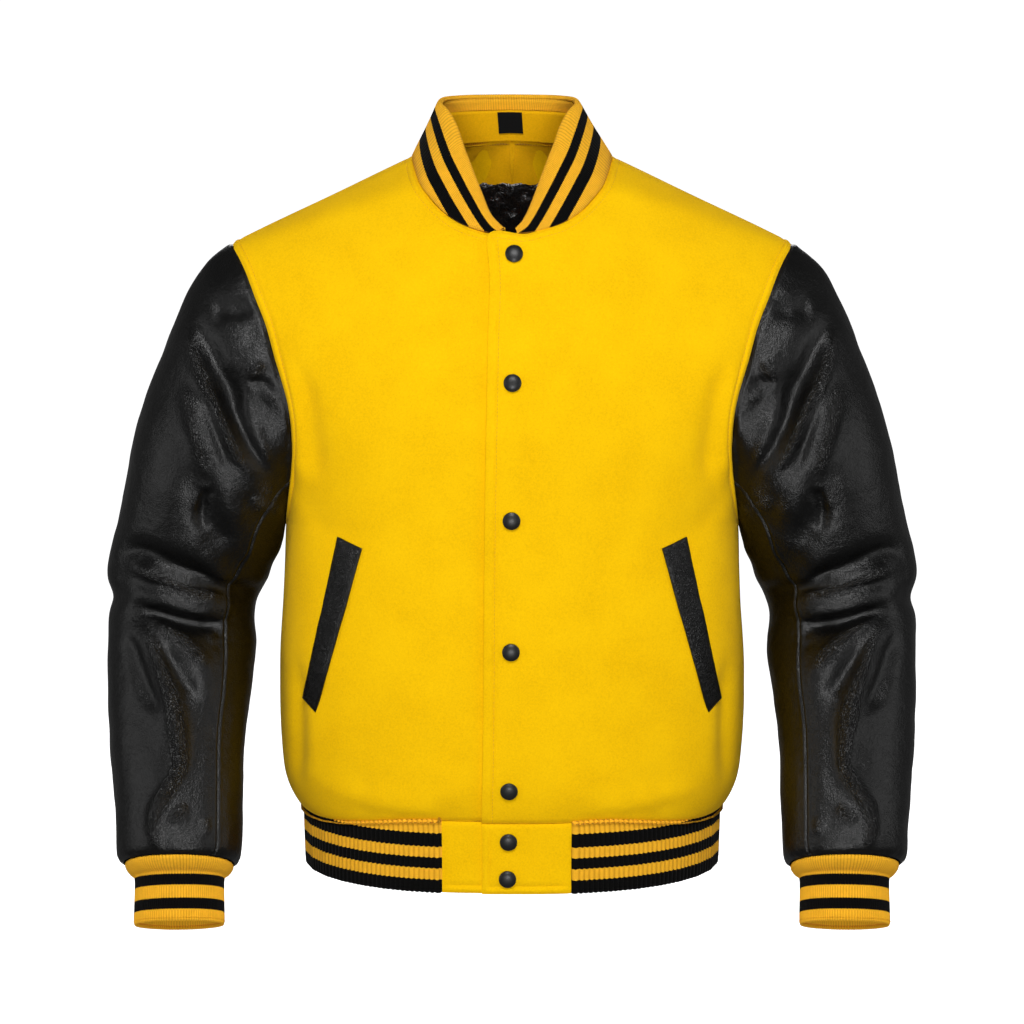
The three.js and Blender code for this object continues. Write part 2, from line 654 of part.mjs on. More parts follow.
// Mirrors a piece to the other side; the faces are turned round so that they still point out
function mirrored(geometry) {
  const copy = geometry.clone();
  copy.scale(-1, 1, 1);
  const index = copy.getIndex();
  for (let k = 0; k < index.count; k += 3) {
    const a = index.getX(k);
    index.setX(k, index.getX(k + 2));
    index.setX(k + 2, a);
  }
  return copy;
}

// Sleeve surface: plain sections down the arm, the first ones blended from the armhole's own outline
function sleeveRings(armhole) {
  const section = (row) => {
    const centre = vector((row.ox + row.ix) / 2, row.y, (row.oz + row.iz) / 2);
    const up = vector((row.ox - row.ix) / 2, 0, (row.oz - row.iz) / 2);
    const tilt = degrees(row.tilt);
    const forward = vector(0, -Math.cos(tilt), Math.sin(tilt)).multiplyScalar(row.depth);
    return armhole.map((_, j) => {
      const angle = sleeveAngle(j);
      const c = signedPower(Math.cos(angle), 2 / SLEEVE_POWER);
      const s = signedPower(Math.sin(angle), 2 / SLEEVE_POWER);
      return centre.clone().addScaledVector(up, c).addScaledVector(forward, s);
    });
  };
  const plain = section(SLEEVE_SECTIONS[0]);
  const rings = SLEEVE_SECTIONS.map((row) => section(row).map((point, j) => {
    const own = armhole[j].clone().sub(plain[j]);
    return point.addScaledVector(own, 1 - row.release);
  }));
  const normals = gridNormals(rings, true, 1);
  const last = rings.length - 1;
  rings.forEach((ring, i) => ring.forEach((point, j) => {
    const facing = -normals[i][j].y;
    const folds = facing > 0 ? SLEEVE_FRONT_FOLDS : SLEEVE_BACK_FOLDS;
    const ends = Math.min(i / SLEEVE_FADE.armholeRings, (last - i) / SLEEVE_FADE.cuffRings, 1);
    const fade = ends * smoothstep(Math.abs(facing) / SLEEVE_FADE.facing);
    point.addScaledVector(normals[i][j], foldHeight(folds, point.x, point.z) * fade);
  }));
  return rings;
}

// Cuff surface: starts on the sleeve's last ring and narrows to the wrist
function cuffRings(start) {
  const centre = start.reduce((sum, p) => sum.add(p), vector(0, 0, 0)).divideScalar(start.length);
  const end = vector(CUFF_END.x, CUFF_END.y, CUFF_END.z);
  const axis = end.clone().sub(centre).normalize();
  const forward = vector(1, 0, 0).cross(axis).normalize();
  if (forward.y > 0) forward.negate();
  const side = forward.clone().cross(axis).normalize();
  if (side.x < 0) side.negate();
  return CUFF_SECTIONS.map((row) => {
    const middle = centre.clone().lerp(end, row.along / CUFF_LENGTH);
    const own = smoothstep(row.along / CUFF_EASE);
    return start.map((point, j) => {
      const angle = sleeveAngle(j);
      const c = signedPower(Math.cos(angle), 2 / SLEEVE_POWER) * row.half;
      const s = signedPower(Math.sin(angle), 2 / SLEEVE_POWER) * row.depth;
      const plain = middle.clone().addScaledVector(side, c).addScaledVector(forward, s);
      const carried = point.clone().addScaledVector(axis, row.along);
      return carried.lerp(plain, own);
    });
  });
}

// The part of a polyline between two x values, with its cut ends
function between(points, fromX, toX) {
  const result = [];
  const cut = (a, b, x) => a.clone().lerp(b, (x - a.x) / (b.x - a.x));
  for (let k = 0; k < points.length; k += 1) {
    const point = points[k];
    const before = points[k - 1];
    if (before && before.x < fromX && point.x > fromX) result.push(cut(before, point, fromX));
    if (before && before.x < toX && point.x > toX) result.push(cut(before, point, toX));
    if (point.x >= fromX && point.x <= toX) result.push(point.clone());
  }
  return result;
}

// A point of the waistband below a point of the hem seam; down goes from 0 at the seam to 1 at the bottom
function belowHem(seam, down) {
  const halfScale = HEM_BOTTOM_HALF / BODY_WIDTHS[0].half;
  const front = HEM_BOTTOM_FRONT / BODY_DEPTHS[0].front;
  const back = HEM_BOTTOM_BACK / BODY_DEPTHS[0].back;
  const share = Math.min(down / HEM_DRAW_IN, 1);
  const depthScale = seam.y < 0 ? front : back;
  const z = lerp(seam.z - SEAM_GAP, BOTTOM_Z, down);
  return vector(seam.x * lerp(1, halfScale, share), seam.y * lerp(1, depthScale, share), z);
}

// Outer points with raised ribs, joined to a plain inner wall that has fewer columns
function ribbedGeometry(seam, levels, thickness, ribCount) {
  const lengths = [{ length: 0, t: 0 }];
  for (let k = 1; k < seam.length; k += 1) {
    lengths.push({ length: lengths[k - 1].length + seam[k].distanceTo(seam[k - 1]), t: k });
  }
  const total = lengths[seam.length - 1].length;
  const onSeam = (fraction) => {
    const t = lookUp(lengths, 'length', fraction * total, 't');
    const k = Math.min(Math.floor(t), seam.length - 2);
    return seam[k].clone().lerp(seam[k + 1], t - k);
  };
  const columns = ribCount * 2;
  const base = levels.map((down) => Array.from({ length: columns + 1 }, (_, j) => (
    belowHem(onSeam(j / columns), down))));
  const normals = gridNormals(base, false, -1);
  const outer = base.map((row, i) => row.map((point, j) => {
    const raised = j % 2 === 1 && i > 0 ? HEM_RIB_HEIGHT : 0;
    return point.clone().addScaledVector(normals[i][j], raised);
  }));
  const skip = HEM_INNER_STEP;
  const innerColumns = columns / skip;
  const inner = [0, levels.length - 1].map((i) => Array.from({ length: innerColumns + 1 }, (_, j) => (
    base[i][j * skip].clone().addScaledVector(normals[i][j * skip], -thickness))));
  const points = [...outer.flat(), ...inner.flat()];
  const out = (i, j) => i * (columns + 1) + j;
  const into = (i, j) => outer.length * (columns + 1) + i * (innerColumns + 1) + j;
  const faces = [];
  const quad = (a, b, c, d) => faces.push([a, b, c], [a, c, d]);
  for (let i = 0; i < levels.length - 1; i += 1) {
    for (let j = 0; j < columns; j += 1) quad(out(i, j), out(i + 1, j), out(i + 1, j + 1), out(i, j + 1));
  }
  const bottom = levels.length - 1;
  for (let j = 0; j < innerColumns; j += 1) {
    quad(into(0, j), into(0, j + 1), into(1, j + 1), into(1, j));
    faces.push([into(0, j), out(0, (j + 1) * skip), into(0, j + 1)]);
    faces.push([into(1, j), into(1, j + 1), out(bottom, (j + 1) * skip)]);
    for (let k = j * skip; k < (j + 1) * skip; k += 1) {
      faces.push([into(0, j), out(0, k), out(0, k + 1)]);
      faces.push([into(1, j), out(bottom, k + 1), out(bottom, k)]);
    }
  }
  for (const [j, k, turn] of [[0, 0, false], [columns, innerColumns, true]]) {
    const fan = levels.slice(1).map((_, i) => [into(0, k), out(i + 1, j), out(i, j)]);
    fan.push([into(0, k), into(1, k), out(bottom, j)]);
    faces.push(...(turn ? fan.map((face) => face.reverse()) : fan));
  }
  return bodyGeometry(points, faces);
}

// Depth of a panel's facets at a place in the front view, with the facet's direction
function onPanel(geometry, x, z) {
  const position = geometry.getAttribute('position');
  const index = geometry.getIndex();
  const corner = (k) => new THREE.Vector3().fromBufferAttribute(position, index.getX(k));
  let found = null;
  for (let k = 0; k < index.count; k += 3) {
    const [a, b, c] = [corner(k), corner(k + 1), corner(k + 2)];
    const area = (b.x - a.x) * (c.z - a.z) - (c.x - a.x) * (b.z - a.z);
    if (Math.abs(area) < 1e-9) continue;
    const v = ((x - a.x) * (c.z - a.z) - (c.x - a.x) * (z - a.z)) / area;
    const w = ((b.x - a.x) * (z - a.z) - (x - a.x) * (b.z - a.z)) / area;
    if (v < -1e-9 || w < -1e-9 || v + w > 1 + 1e-9) continue;
    const y = a.y + v * (b.y - a.y) + w * (c.y - a.y);
    if (found && found.point.y < y) continue;
    const normal = b.clone().sub(a).cross(c.clone().sub(a)).normalize();
    found = { point: vector(x, y, z), normal };
  }
  return found;
}

// Fronts and back
const leftFront = frontGrid(LEFT_EDGE, WOOL + PLACKET_GAP);
const rightFront = frontGrid(RIGHT_EDGE, 0);
const backHalf = backGrid();
const armholeOf = (front) => [
  ...column(front.slice(SIDE_ROWS), -1).reverse(),
  ...column(backHalf.slice(SIDE_ROWS + 1, -1), -1),
].map((point) => point.clone());

const leftNormals = gridNormals(leftFront, false, 1);
const rightNormals = gridNormals(rightFront, false, 1);
const backNormals = gridNormals(backHalf, false, -1);
backHalf.forEach((row, i) => {
  if (Math.abs(row[0].x) < 1e-6) {
    backNormals[i][0].x = 0;
    backNormals[i][0].normalize();
  }
});
const alongSide = (normals) => column(normals, -1).slice(0, SIDE_ROWS + 1);
shareNormals(alongSide(leftNormals), alongSide(backNormals));
shareNormals(leftNormals.at(-1), backNormals.at(-1));
alongSide(rightNormals).forEach((n, k) => n.copy(leftNormals[k].at(-1)));
rightNormals.at(-1).forEach((n, k) => n.copy(leftNormals.at(-1)[k]));

// Sleeve, built once for the left side and mirrored
const sleeve = sleeveRings(armholeOf(leftFront));
const sleeveNormals = gridNormals(sleeve, true, 1);
const cuff = cuffRings(sleeve.at(-1));
const cuffNormals = gridNormals(cuff, true, 1);
const armholeNormals = [
  ...column(leftNormals.slice(SIDE_ROWS), -1).reverse(),
  ...column(backNormals.slice(SIDE_ROWS + 1, -1), -1),
];
shareNormals(sleeveNormals[0], armholeNormals);
column(rightNormals.slice(SIDE_ROWS), -1).forEach((n, k) => n.copy(leftNormals[SIDE_ROWS + k].at(-1)));
column(backNormals, -1).at(-1).copy(column(leftNormals, -1).at(-1));
shareNormals(sleeveNormals.at(-1), cuffNormals[0]);

// Hem and neck seams keep the panel's own points for the trims before the panels draw back from them
const hemLeft = leftFront[0].map((p) => p.clone());
const hemRight = rightFront[0].map((p) => p.clone());
const hemBack = backHalf[0].map((p) => p.clone());
const neckRow = SIDE_ROWS + ARMHOLE_ROWS - FRONT_NECK_ROWS + 1;
const neckLeft = column(leftFront.slice(neckRow), 0).map((p) => p.clone());
const neckRight = column(rightFront.slice(neckRow), 0).map((p) => p.clone());
const backNeckRow = SIDE_ROWS + ARMHOLE_ROWS - BACK_NECK_ROWS;
const neckBack = column(backHalf.slice(backNeckRow), 0).map((p) => p.clone());

const mirrorPoint = (p) => vector(-p.x, p.y, p.z);

// Stand collar: from the neck seam up to its top edge, from the right front end round the back to the left
function collarGrid() {
  const half = (front, lean) => {
    const edge = COLLAR_TOP.map((p) => vector(p.x + lean, p.y, p.z));
    const topCurve = new THREE.CatmullRomCurve3(edge, false, 'centripetal');
    const seam = [...front, ...neckBack.slice(0, -1).reverse()];
    const lengths = [0];
    for (let k = 1; k < seam.length; k += 1) lengths.push(lengths[k - 1] + seam[k].distanceTo(seam[k - 1]));
    return seam.map((low, k) => {
      const high = topCurve.getPointAt(lengths[k] / lengths.at(-1));
      return COLLAR_LEVELS.map((level) => low.clone().lerp(high, level));
    });
  };
  const left = half(neckLeft, -COLLAR_LEAN);
  const right = half(neckRight, COLLAR_LEAN).map((levels) => levels.map(mirrorPoint));
  const around = [...right, ...left.slice(0, -1).reverse()];
  return COLLAR_LEVELS.map((_, i) => around.map((levels) => levels[i]));
}
const collar = collarGrid();
const collarNormals = gridNormals(collar, false, -1);
const neckNormals = [
  ...column(rightNormals.slice(neckRow), 0).map(mirrorPoint),
  ...column(backNormals.slice(backNeckRow, -1), 0).reverse().map(mirrorPoint),
  ...column(backNormals.slice(backNeckRow + 1, -1), 0).map((n) => n.clone()),
  ...column(leftNormals.slice(neckRow), 0).reverse().map((n) => n.clone()),
];
shareNormals(collarNormals[0], neckNormals);
const collarEnd = neckNormals.length - 1;
column(rightNormals.slice(neckRow), 0).forEach((n, k) => n.copy(mirrorPoint(neckNormals[k])));
column(leftNormals.slice(neckRow), 0).forEach((n, k) => n.copy(neckNormals[collarEnd - k]));

function seamPanel(grid, firstNeckRow) {
  const own = copyGrid(grid);
  drawBack(column(own.slice(firstNeckRow), 0), column(grid.slice(firstNeckRow), 1));
  drawBack(column(own, -1), column(grid, -2));
  drawBack(own.at(-1), grid.at(-2));
  return own;
}
const leftPanel = seamPanel(leftFront, neckRow);
const rightPanel = seamPanel(rightFront, neckRow);
const backPanel = seamPanel(backHalf, backNeckRow + 1);
const mirrorGrid = (grid) => grid.map((row) => row.map(mirrorPoint));

const frontLeft = add('front_left', wallGeometry([{ grid: leftPanel, normals: leftNormals }], WOOL), wool);
const frontRight = wallGeometry([{ grid: rightPanel, normals: rightNormals }], WOOL);
add('front_right', mirrored(frontRight), wool);
const bothHalves = (grid, normals) => [
  { grid, normals, flip: true },
  { grid: mirrorGrid(grid), normals: mirrorGrid(normals) },
];
add('back', wallGeometry(bothHalves(backPanel, backNormals), WOOL), wool);

// Sleeves: top sleeve and under sleeve, parted at the front seam and the back seam
function sleevePart(columns) {
  const pick = (grid) => grid.map((ring) => columns.map((j) => ring[j % SLEEVE_COLUMNS].clone()));
  const grid = pick(sleeve);
  const own = copyGrid(grid);
  drawBack(column(own, 0), column(grid, 1));
  drawBack(column(own, -1), column(grid, -2));
  drawBack(own[0], grid[1]);
  drawBack(own.at(-1), grid.at(-2));
  return wallGeometry([{ grid: own, normals: pick(sleeveNormals) }], LEATHER);
}
const topSleeve = sleevePart(range(BACK_SEAM_COLUMN, SLEEVE_COLUMNS + FRONT_SEAM_COLUMN));
const underSleeve = sleevePart(range(FRONT_SEAM_COLUMN, BACK_SEAM_COLUMN));
add('sleeve_top_left', topSleeve, leather);
add('sleeve_under_left', underSleeve, leather);
add('sleeve_top_right', mirrored(topSleeve), leather);
add('sleeve_under_right', mirrored(underSleeve), leather);

const cuffOwn = copyGrid(cuff);
drawBack(cuffOwn[0], cuff[1]);
const cuffPatch = {
  grid: cuffOwn,
  normals: cuffNormals,
  around: true,
  depths: cuff.map((_, i) => (i === cuff.length - 1 ? CUFF_EDGE_KNIT : RIB_KNIT)),
};
const cuffWall = wallGeometry([cuffPatch]);
add('cuff_left', cuffWall, knit);
add('cuff_right', mirrored(cuffWall), knit);

// Stand collar: its rounded top edge and its ends are thinner
const collarOwn = copyGrid(collar);
drawBack(collarOwn[0], collar[1], SEAM_GAP);
collarOwn.at(-1).forEach((point, j) => point.addScaledVector(collarNormals.at(-1)[j], -COLLAR_ROLL));
const columnsFromEnd = (j) => Math.min(j, collar[0].length - 1 - j);
const collarInner = collarOwn.map((row, i) => row.map((point, j) => {
  const depth = i === collar.length - 1 ? COLLAR_KNIT - 2 * COLLAR_ROLL : COLLAR_KNIT;
  const thin = lerp(COLLAR_END_SHARE, 1, smoothstep(columnsFromEnd(j) / COLLAR_END_COLUMNS));
  return point.clone().addScaledVector(collarNormals[i][j], -depth * thin);
}));
// Closed wall between two grids of the same size, whose rows run up and whose columns run to the left
function pairedWall(outerGrid, innerGrid) {
  const count = outerGrid[0].length;
  const faces = [];
  for (let i = 0; i < outerGrid.length - 1; i += 1) {
    for (let j = 0; j < count - 1; j += 1) {
      const low = i * count + j;
      const high = low + count;
      faces.push([high, high + 1, low + 1], [high, low + 1, low]);
    }
  }
  return closeWall(outerGrid.flat(), innerGrid.flat(), faces);
}
add('collar_rib', pairedWall(collarOwn, collarInner), knit);

// Wool band on the inside of the collar at the back
function insideCollar(level) {
  const i = COLLAR_LEVELS.findIndex((l) => l >= level) - 1;
  const t = (level - COLLAR_LEVELS[i]) / (COLLAR_LEVELS[i + 1] - COLLAR_LEVELS[i]);
  return collarInner[i].map((p, j) => p.clone().lerp(collarInner[i + 1][j], t));
}
const middleColumn = (collar[0].length - 1) / 2;
const bandColumns = range(middleColumn - BAND_COLUMNS_FROM_BACK, middleColumn + BAND_COLUMNS_FROM_BACK);

// A layer of cloth over a grid: its near and far side, and the wall between them
function layerOn(grid, normals, gap, thickness) {
  const lifted = (height) => grid.map((row, i) => (
    row.map((p, j) => p.clone().addScaledVector(normals[i][j], -height))));
  const near = lifted(gap);
  const far = lifted(gap + thickness);
  return { near, far, geometry: pairedWall(near, far) };
}
const bandGrid = BAND_LEVELS.map((level) => bandColumns.map((j) => insideCollar(level)[j]));
const bandNormals = BAND_LEVELS.map(() => bandColumns.map((j) => collarNormals[1][j]));
const band = layerOn(bandGrid, bandNormals, BAND_GAP, BAND);
add('collar_band', band.geometry, wool);

// Label, sewn on the middle of the band
function labelGeometry() {
  const low = band.far[1];
  const high = band.far[2];
  const middle = bandColumns.indexOf(middleColumn);
  const reach = LABEL_SIZE.height / high[middle].distanceTo(low[middle]) / 2;
  const grid = [0.5 - reach, 0.5 + reach].map((up) => {
    const [right, centre, left] = [-1, 0, 1].map((side) => (
      low[middle + side].clone().lerp(high[middle + side], up)));
    const sewn = (next) => centre.clone().lerp(next, LABEL_SIZE.width / 2 / Math.abs(next.x - centre.x));
    return [sewn(right), centre, sewn(left)];
  });
  const normals = grid.map((row) => row.map(() => vector(0, 1, LABEL_LEAN).normalize()));
  return layerOn(grid, normals, LAYER_GAP, LABEL).geometry;
}
add('neck_label', labelGeometry(), labelCloth);

// Back neck facing and lining, laid inside the back panel from its own points
function insideBack(rows, columns, gap, thickness) {
  const pick = (grid) => rows.map((i) => columns.map((j) => grid[i][j].clone()));
  const normals = pick(backNormals);
  const grid = pick(backPanel);
  grid.forEach((row, i) => row.forEach((p, j) => p.addScaledVector(normals[i][j], -(WOOL + gap))));
  return wallGeometry(bothHalves(grid, normals), thickness);
}
const facingRows = range(backNeckRow - 1, SIDE_ROWS + ARMHOLE_ROWS);
add('back_neck_facing', insideBack(facingRows, range(0, FACING_COLUMNS), LAYER_GAP, FACING), wool);
const oddRows = range(0, backNeckRow - 3).filter((i) => i % 2 === 1);
const evenColumns = range(0, PANEL_COLUMNS).filter((j) => j % 2 === 0);
add('lining_back', insideBack([...oddRows, backNeckRow - 1], evenColumns, LINING_GAP, LINING), satin);

// Waistband: ribbed knit from the left tab round the back to the right tab, and the two wool tabs
const hemAround = [
  ...between(hemLeft, TAB_LEFT_END, Infinity),
  ...hemBack.slice(0, -1).reverse().map((p) => p.clone()),
  ...hemBack.slice(1, -1).map(mirrorPoint),
  ...between(hemRight, TAB_RIGHT_END, Infinity).reverse().map(mirrorPoint),
];
add('hem_rib', ribbedGeometry(hemAround, HEM_LEVELS, RIB_KNIT, HEM_RIBS), knit);

function tabGeometry(hem, fromX, toX) {
  const seam = between(hem, fromX, toX - SEAM_GAP);
  const grid = TAB_LEVELS.map((down) => seam.map((point) => belowHem(point, down)));
  const normals = gridNormals(grid, false, -1);
  return wallGeometry([{ grid, normals, flip: true }], WOOL);
}
const tabLeft = add('hem_tab_left', tabGeometry(hemLeft, -Infinity, TAB_LEFT_END), wool);
add('hem_tab_right', mirrored(tabGeometry(hemRight, -Infinity, TAB_RIGHT_END)), wool);

// Pocket welts, laid on the fronts
function weltGeometry(panel) {
  const { topOuter, topInner, lowInner, lowOuter } = WELT_CORNERS;
  const inWelt = (key, across, down) => lerp(
    lerp(topInner[key], topOuter[key], across),
    lerp(lowInner[key], lowOuter[key], across),
    down,
  );
  const rows = range(0, WELT_ROWS).map((k) => [0, 0.5, 1].map((across) => {
    const down = k / WELT_ROWS;
    return onPanel(panel, inWelt('x', across, down), inWelt('z', across, down));
  }));
  const grid = rows.map((row) => row.map(({ point, normal }) => (
    point.clone().addScaledVector(normal, WELT_GAP + WELT))));
  const normals = rows.map((row) => row.map(({ normal }) => normal));
  return wallGeometry([{ grid, normals, flip: true }], WELT);
}
add('pocket_welt_left', weltGeometry(frontLeft.geometry), leather);
add('pocket_welt_right', mirrored(weltGeometry(frontRight)), leather);

// Snap caps: domed, seated square on the placket and on the left tab
const snapProfile = SNAP_PROFILE.map(({ r, z }) => new THREE.Vector2(r, z));
SNAP_PLACES.forEach(({ x, z }, k) => {
  const panel = z < HEM_FRONT_Z ? tabLeft : frontLeft;
  const seat = onPanel(panel.geometry, x, z);
  const geometry = mergeVertices(plainLathe(snapProfile, SNAP_SIDES), 1e-4);
  const snap = add(`snap_${k + 1}`, geometry, snapPaint);
  snap.position.copy(seat.point.clone().addScaledVector(seat.normal, LAYER_GAP));
  snap.quaternion.setFromUnitVectors(vector(0, 1, 0), seat.normal);
});

function plainLathe(profile, sides) {
  const geometry = new THREE.LatheGeometry(profile, sides);
  geometry.deleteAttribute('normal');
  geometry.deleteAttribute('uv');
  return geometry;
}

export default jacket;
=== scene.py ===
import itertools
import math

import bmesh
import bpy
import numpy as np
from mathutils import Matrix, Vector, noise


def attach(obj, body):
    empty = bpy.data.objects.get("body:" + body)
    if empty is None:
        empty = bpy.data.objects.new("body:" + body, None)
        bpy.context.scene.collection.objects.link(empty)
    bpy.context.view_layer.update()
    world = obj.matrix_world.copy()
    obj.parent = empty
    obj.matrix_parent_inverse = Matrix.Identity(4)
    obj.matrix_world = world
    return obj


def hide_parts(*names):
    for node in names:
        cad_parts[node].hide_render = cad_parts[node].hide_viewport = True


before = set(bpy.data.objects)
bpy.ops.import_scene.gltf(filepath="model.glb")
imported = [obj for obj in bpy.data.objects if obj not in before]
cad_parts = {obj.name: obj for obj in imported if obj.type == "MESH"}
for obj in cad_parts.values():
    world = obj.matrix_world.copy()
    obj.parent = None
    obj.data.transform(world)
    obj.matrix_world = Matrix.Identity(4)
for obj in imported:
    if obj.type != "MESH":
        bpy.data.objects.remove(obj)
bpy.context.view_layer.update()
scene = bpy.context.scene
MM = 0.001

# Wool body: two fronts and a back of brushed melton, cut whole from shoulder to hem. Each is sewn to its
# neighbours with the edges turned in, so a seam is a soft valley, and topstitched beside the opening,
# the neck and the armholes.
WOOL_THICK = 2.5
BODY_ROWS = 23
BODY_COLUMNS = 12
SHARP_EDGE = math.radians(55)
BORDER_EDGE = math.radians(45)
MERGE_REACH = 2e-6


def third_corner(face, a, b):
    return next(v for v in face.verts if v is not a and v is not b)


def edge_between(a, b):
    return next(e for e in a.link_edges if e.other_vert(a) is b)


def face_across(a, b, face):
    return next(f for f in edge_between(a, b).link_faces if f is not face)


def sharp_chain(start, sharp, direction, steps):
    """Points of a wall's border: from start towards direction, then straight on."""
    chain = [start]
    heading = Vector(direction)
    edge = None
    for _ in range(steps):
        here = chain[-1]
        options = [e for e in here.link_edges if e in sharp and e is not edge]
        edge = max(options, key=lambda e: (e.other_vert(here).co - here.co).normalized().dot(heading))
        there = edge.other_vert(here)
        heading = (there.co - here.co).normalized()
        chain.append(there)
    return chain


def grid_from(chain, rows, barred, ring, first_is_down):
    """Walks from a border row over one side of a wall, cell by cell, and gives its points row by row. It
    doesn't use the barred faces, which lead to the other side."""
    used = set(barred)
    grid = [chain]
    for i in range(rows):
        row = grid[-1]
        cells = len(row) if ring else len(row) - 1
        fresh = []
        for j in range(cells):
            a = row[j]
            b = row[(j + 1) % len(row)]
            face = next(f for f in edge_between(a, b).link_faces if f not in used)
            tip = third_corner(face, a, b)
            if j == 0:
                if first_is_down is None:
                    is_down = edge_between(a, tip).calc_face_angle() > BORDER_EDGE
                else:
                    is_down = first_is_down[i]
                fresh.append(tip if is_down else third_corner(face_across(a, tip, face), a, tip))
            down = fresh[j]
            if tip is down:
                partner = face_across(b, down, face)
                corner = third_corner(partner, b, down)
            else:
                partner = face_across(a, tip, face)
                corner = tip
                if third_corner(partner, a, tip) is not down:
                    raise ValueError("the cells don't meet")
            used.update((face, partner))
            if not (ring and j == cells - 1):
                fresh.append(corner)
            elif corner is not fresh[0]:
                raise ValueError("the ring doesn't close")
        grid.append(fresh)
    if len({v for row in grid for v in row}) != len(grid) * len(chain):
        raise ValueError("the rows share points")
    return grid


def possible_grids(chain, rows, barred, ring, guessed):
    """All grids that a border row can start. Where the end of the wall doesn't show which way its first
    column goes, every way is tried."""
    if not guessed:
        return [grid_from(chain, rows, barred, ring, None)]
    found = []
    for guess in itertools.product((True, False), repeat=rows):
        try:
            found.append(grid_from(chain, rows, barred, ring, guess))
        except (ValueError, IndexError, StopIteration):
            continue
    return found


def wall_grids(node, start, direction, rows, columns, kind="strip"):
    """The outer and inner points of a CAD wall, in mm, as rows by columns, and the turn of its outer side.
    The first row starts at the border point furthest towards start and runs in direction. A strip starts
    at a corner, a middle piece at the middle of its first row, and a ring closes on itself. Of a one-sided
    piece, whose inner side has fewer points, only the outer side is read."""
    mesh = bmesh.new()
    mesh.from_mesh(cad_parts[node].data)
    bmesh.ops.remove_doubles(mesh, verts=mesh.verts, dist=MERGE_REACH)
    sharp = {e for e in mesh.edges if e.calc_face_angle() > SHARP_EDGE}
    needed = 3 if kind in ("strip", "one-sided") else 2
    border = [v for v in mesh.verts if sum(e in sharp for e in v.link_edges) >= needed]
    first = max(border, key=lambda v: v.co.dot(Vector(start)))
    heading = Vector(direction)
    if kind == "strip":
        short = min((e for e in first.link_edges if e in sharp), key=lambda e: e.calc_length())
        second = short.other_vert(first)
        chains = [sharp_chain(first, sharp - {short}, heading, columns),
                  sharp_chain(second, sharp - {short}, heading, columns)]
    elif kind == "one-sided":
        chains = [sharp_chain(first, sharp, heading, columns)]
    else:
        chains = []
        for _ in range(2):
            if kind == "ring":
                chains.append(sharp_chain(first, sharp, heading, columns - 1))
            else:
                half = columns // 2
                there = sharp_chain(first, sharp, -heading, half)
                chains.append(there[::-1] + sharp_chain(first, sharp, heading, half)[1:])
            others = [v for v in border if v not in chains[0]]
            first = min(others, key=lambda v: (v.co - chains[0][0].co).length if kind == "ring"
                        else (v.co - first.co).length)
    guessed = kind != "strip"
    if kind == "one-sided":
        cap = {face for face in mesh.faces if face.normal.z > 0.9}
        pairs = [possible_grids(chains[0], rows, cap, False, True)[:1] * 2]
    else:
        found = []
        for chain, far in (chains, chains[::-1]):
            barred = {face for v in far for face in v.link_faces}
            found.append(possible_grids(chain, rows, barred, kind == "ring", guessed))
        pairs = [(a, b) for a, b in itertools.product(*found)
                 if not {v for row in a for v in row} & {v for row in b for v in row}]
    sides = []
    for grid in pairs[0]:
        points = np.array([[v.co[:] for v in row] for row in grid])
        outward = np.array(edge_between(grid[1][0], grid[1][1]).link_faces[0].normal[:])
        turn = np.sign(np.cross(points[1, 1] - points[1, 0], points[1, 0] - points[0, 0]) @ outward)
        girth = np.linalg.norm(np.diff(points, axis=1), axis=2).sum()
        sides.append((girth, turn, points / MM))
    mesh.free()
    sides.sort(key=lambda side: -side[0])
    return sides[0][2], sides[1][2], sides[0][1]


def spline(values, at):
    """Natural cubic spline through evenly numbered points, read at the given numbers."""
    count = len(values)
    flat = values.reshape(count, -1)
    bend = np.zeros_like(flat)
    if count > 2:
        system = 4 * np.eye(count - 2) + np.eye(count - 2, k=1) + np.eye(count - 2, k=-1)
        bend[1:-1] = np.linalg.solve(system, 6 * (flat[2:] - 2 * flat[1:-1] + flat[:-2]))
    k = np.clip(at.astype(int), 0, count - 2)
    t = (at - k)[:, None]
    s = 1 - t
    mixed = s * flat[k] + t * flat[k + 1] + ((s ** 3 - s) * bend[k] + (t ** 3 - t) * bend[k + 1]) / 6
    return mixed.reshape((len(at),) + values.shape[1:])


def places(grid, axis, cell, near):
    """Numbers on a grid's axis for its fine rows or columns: at the near distances from both of its ends,
    then every cell between them."""
    steps = np.linalg.norm(np.diff(grid, axis=axis), axis=2).mean(axis=1 - axis)
    along = np.concatenate([[0], np.cumsum(steps)])
    total = along[-1]
    cells = max(1, round((total - 2 * near[-1]) / cell))
    middle = np.linspace(near[-1], total - near[-1], cells + 1)
    distances = np.concatenate([near[:-1], middle, total - np.array(near[:-1])[::-1]])
    return np.interp(distances, along, np.arange(len(along)))


def let_out(grid, edges, by=0.5):
    """Lets a piece out beyond some of its edges, so that it meets its neighbour inside the seam."""
    wide = grid.copy()
    for edge in edges:
        turned = (0, 1, 2) if edge.endswith("row") else (1, 0, 2)
        lines = grid.transpose(turned)
        at, beside = (0, 1) if edge.startswith("first") else (-1, -2)
        step = lines[at] - lines[beside]
        wide.transpose(turned)[at] += by * step / np.linalg.norm(step, axis=1, keepdims=True)
    return wide


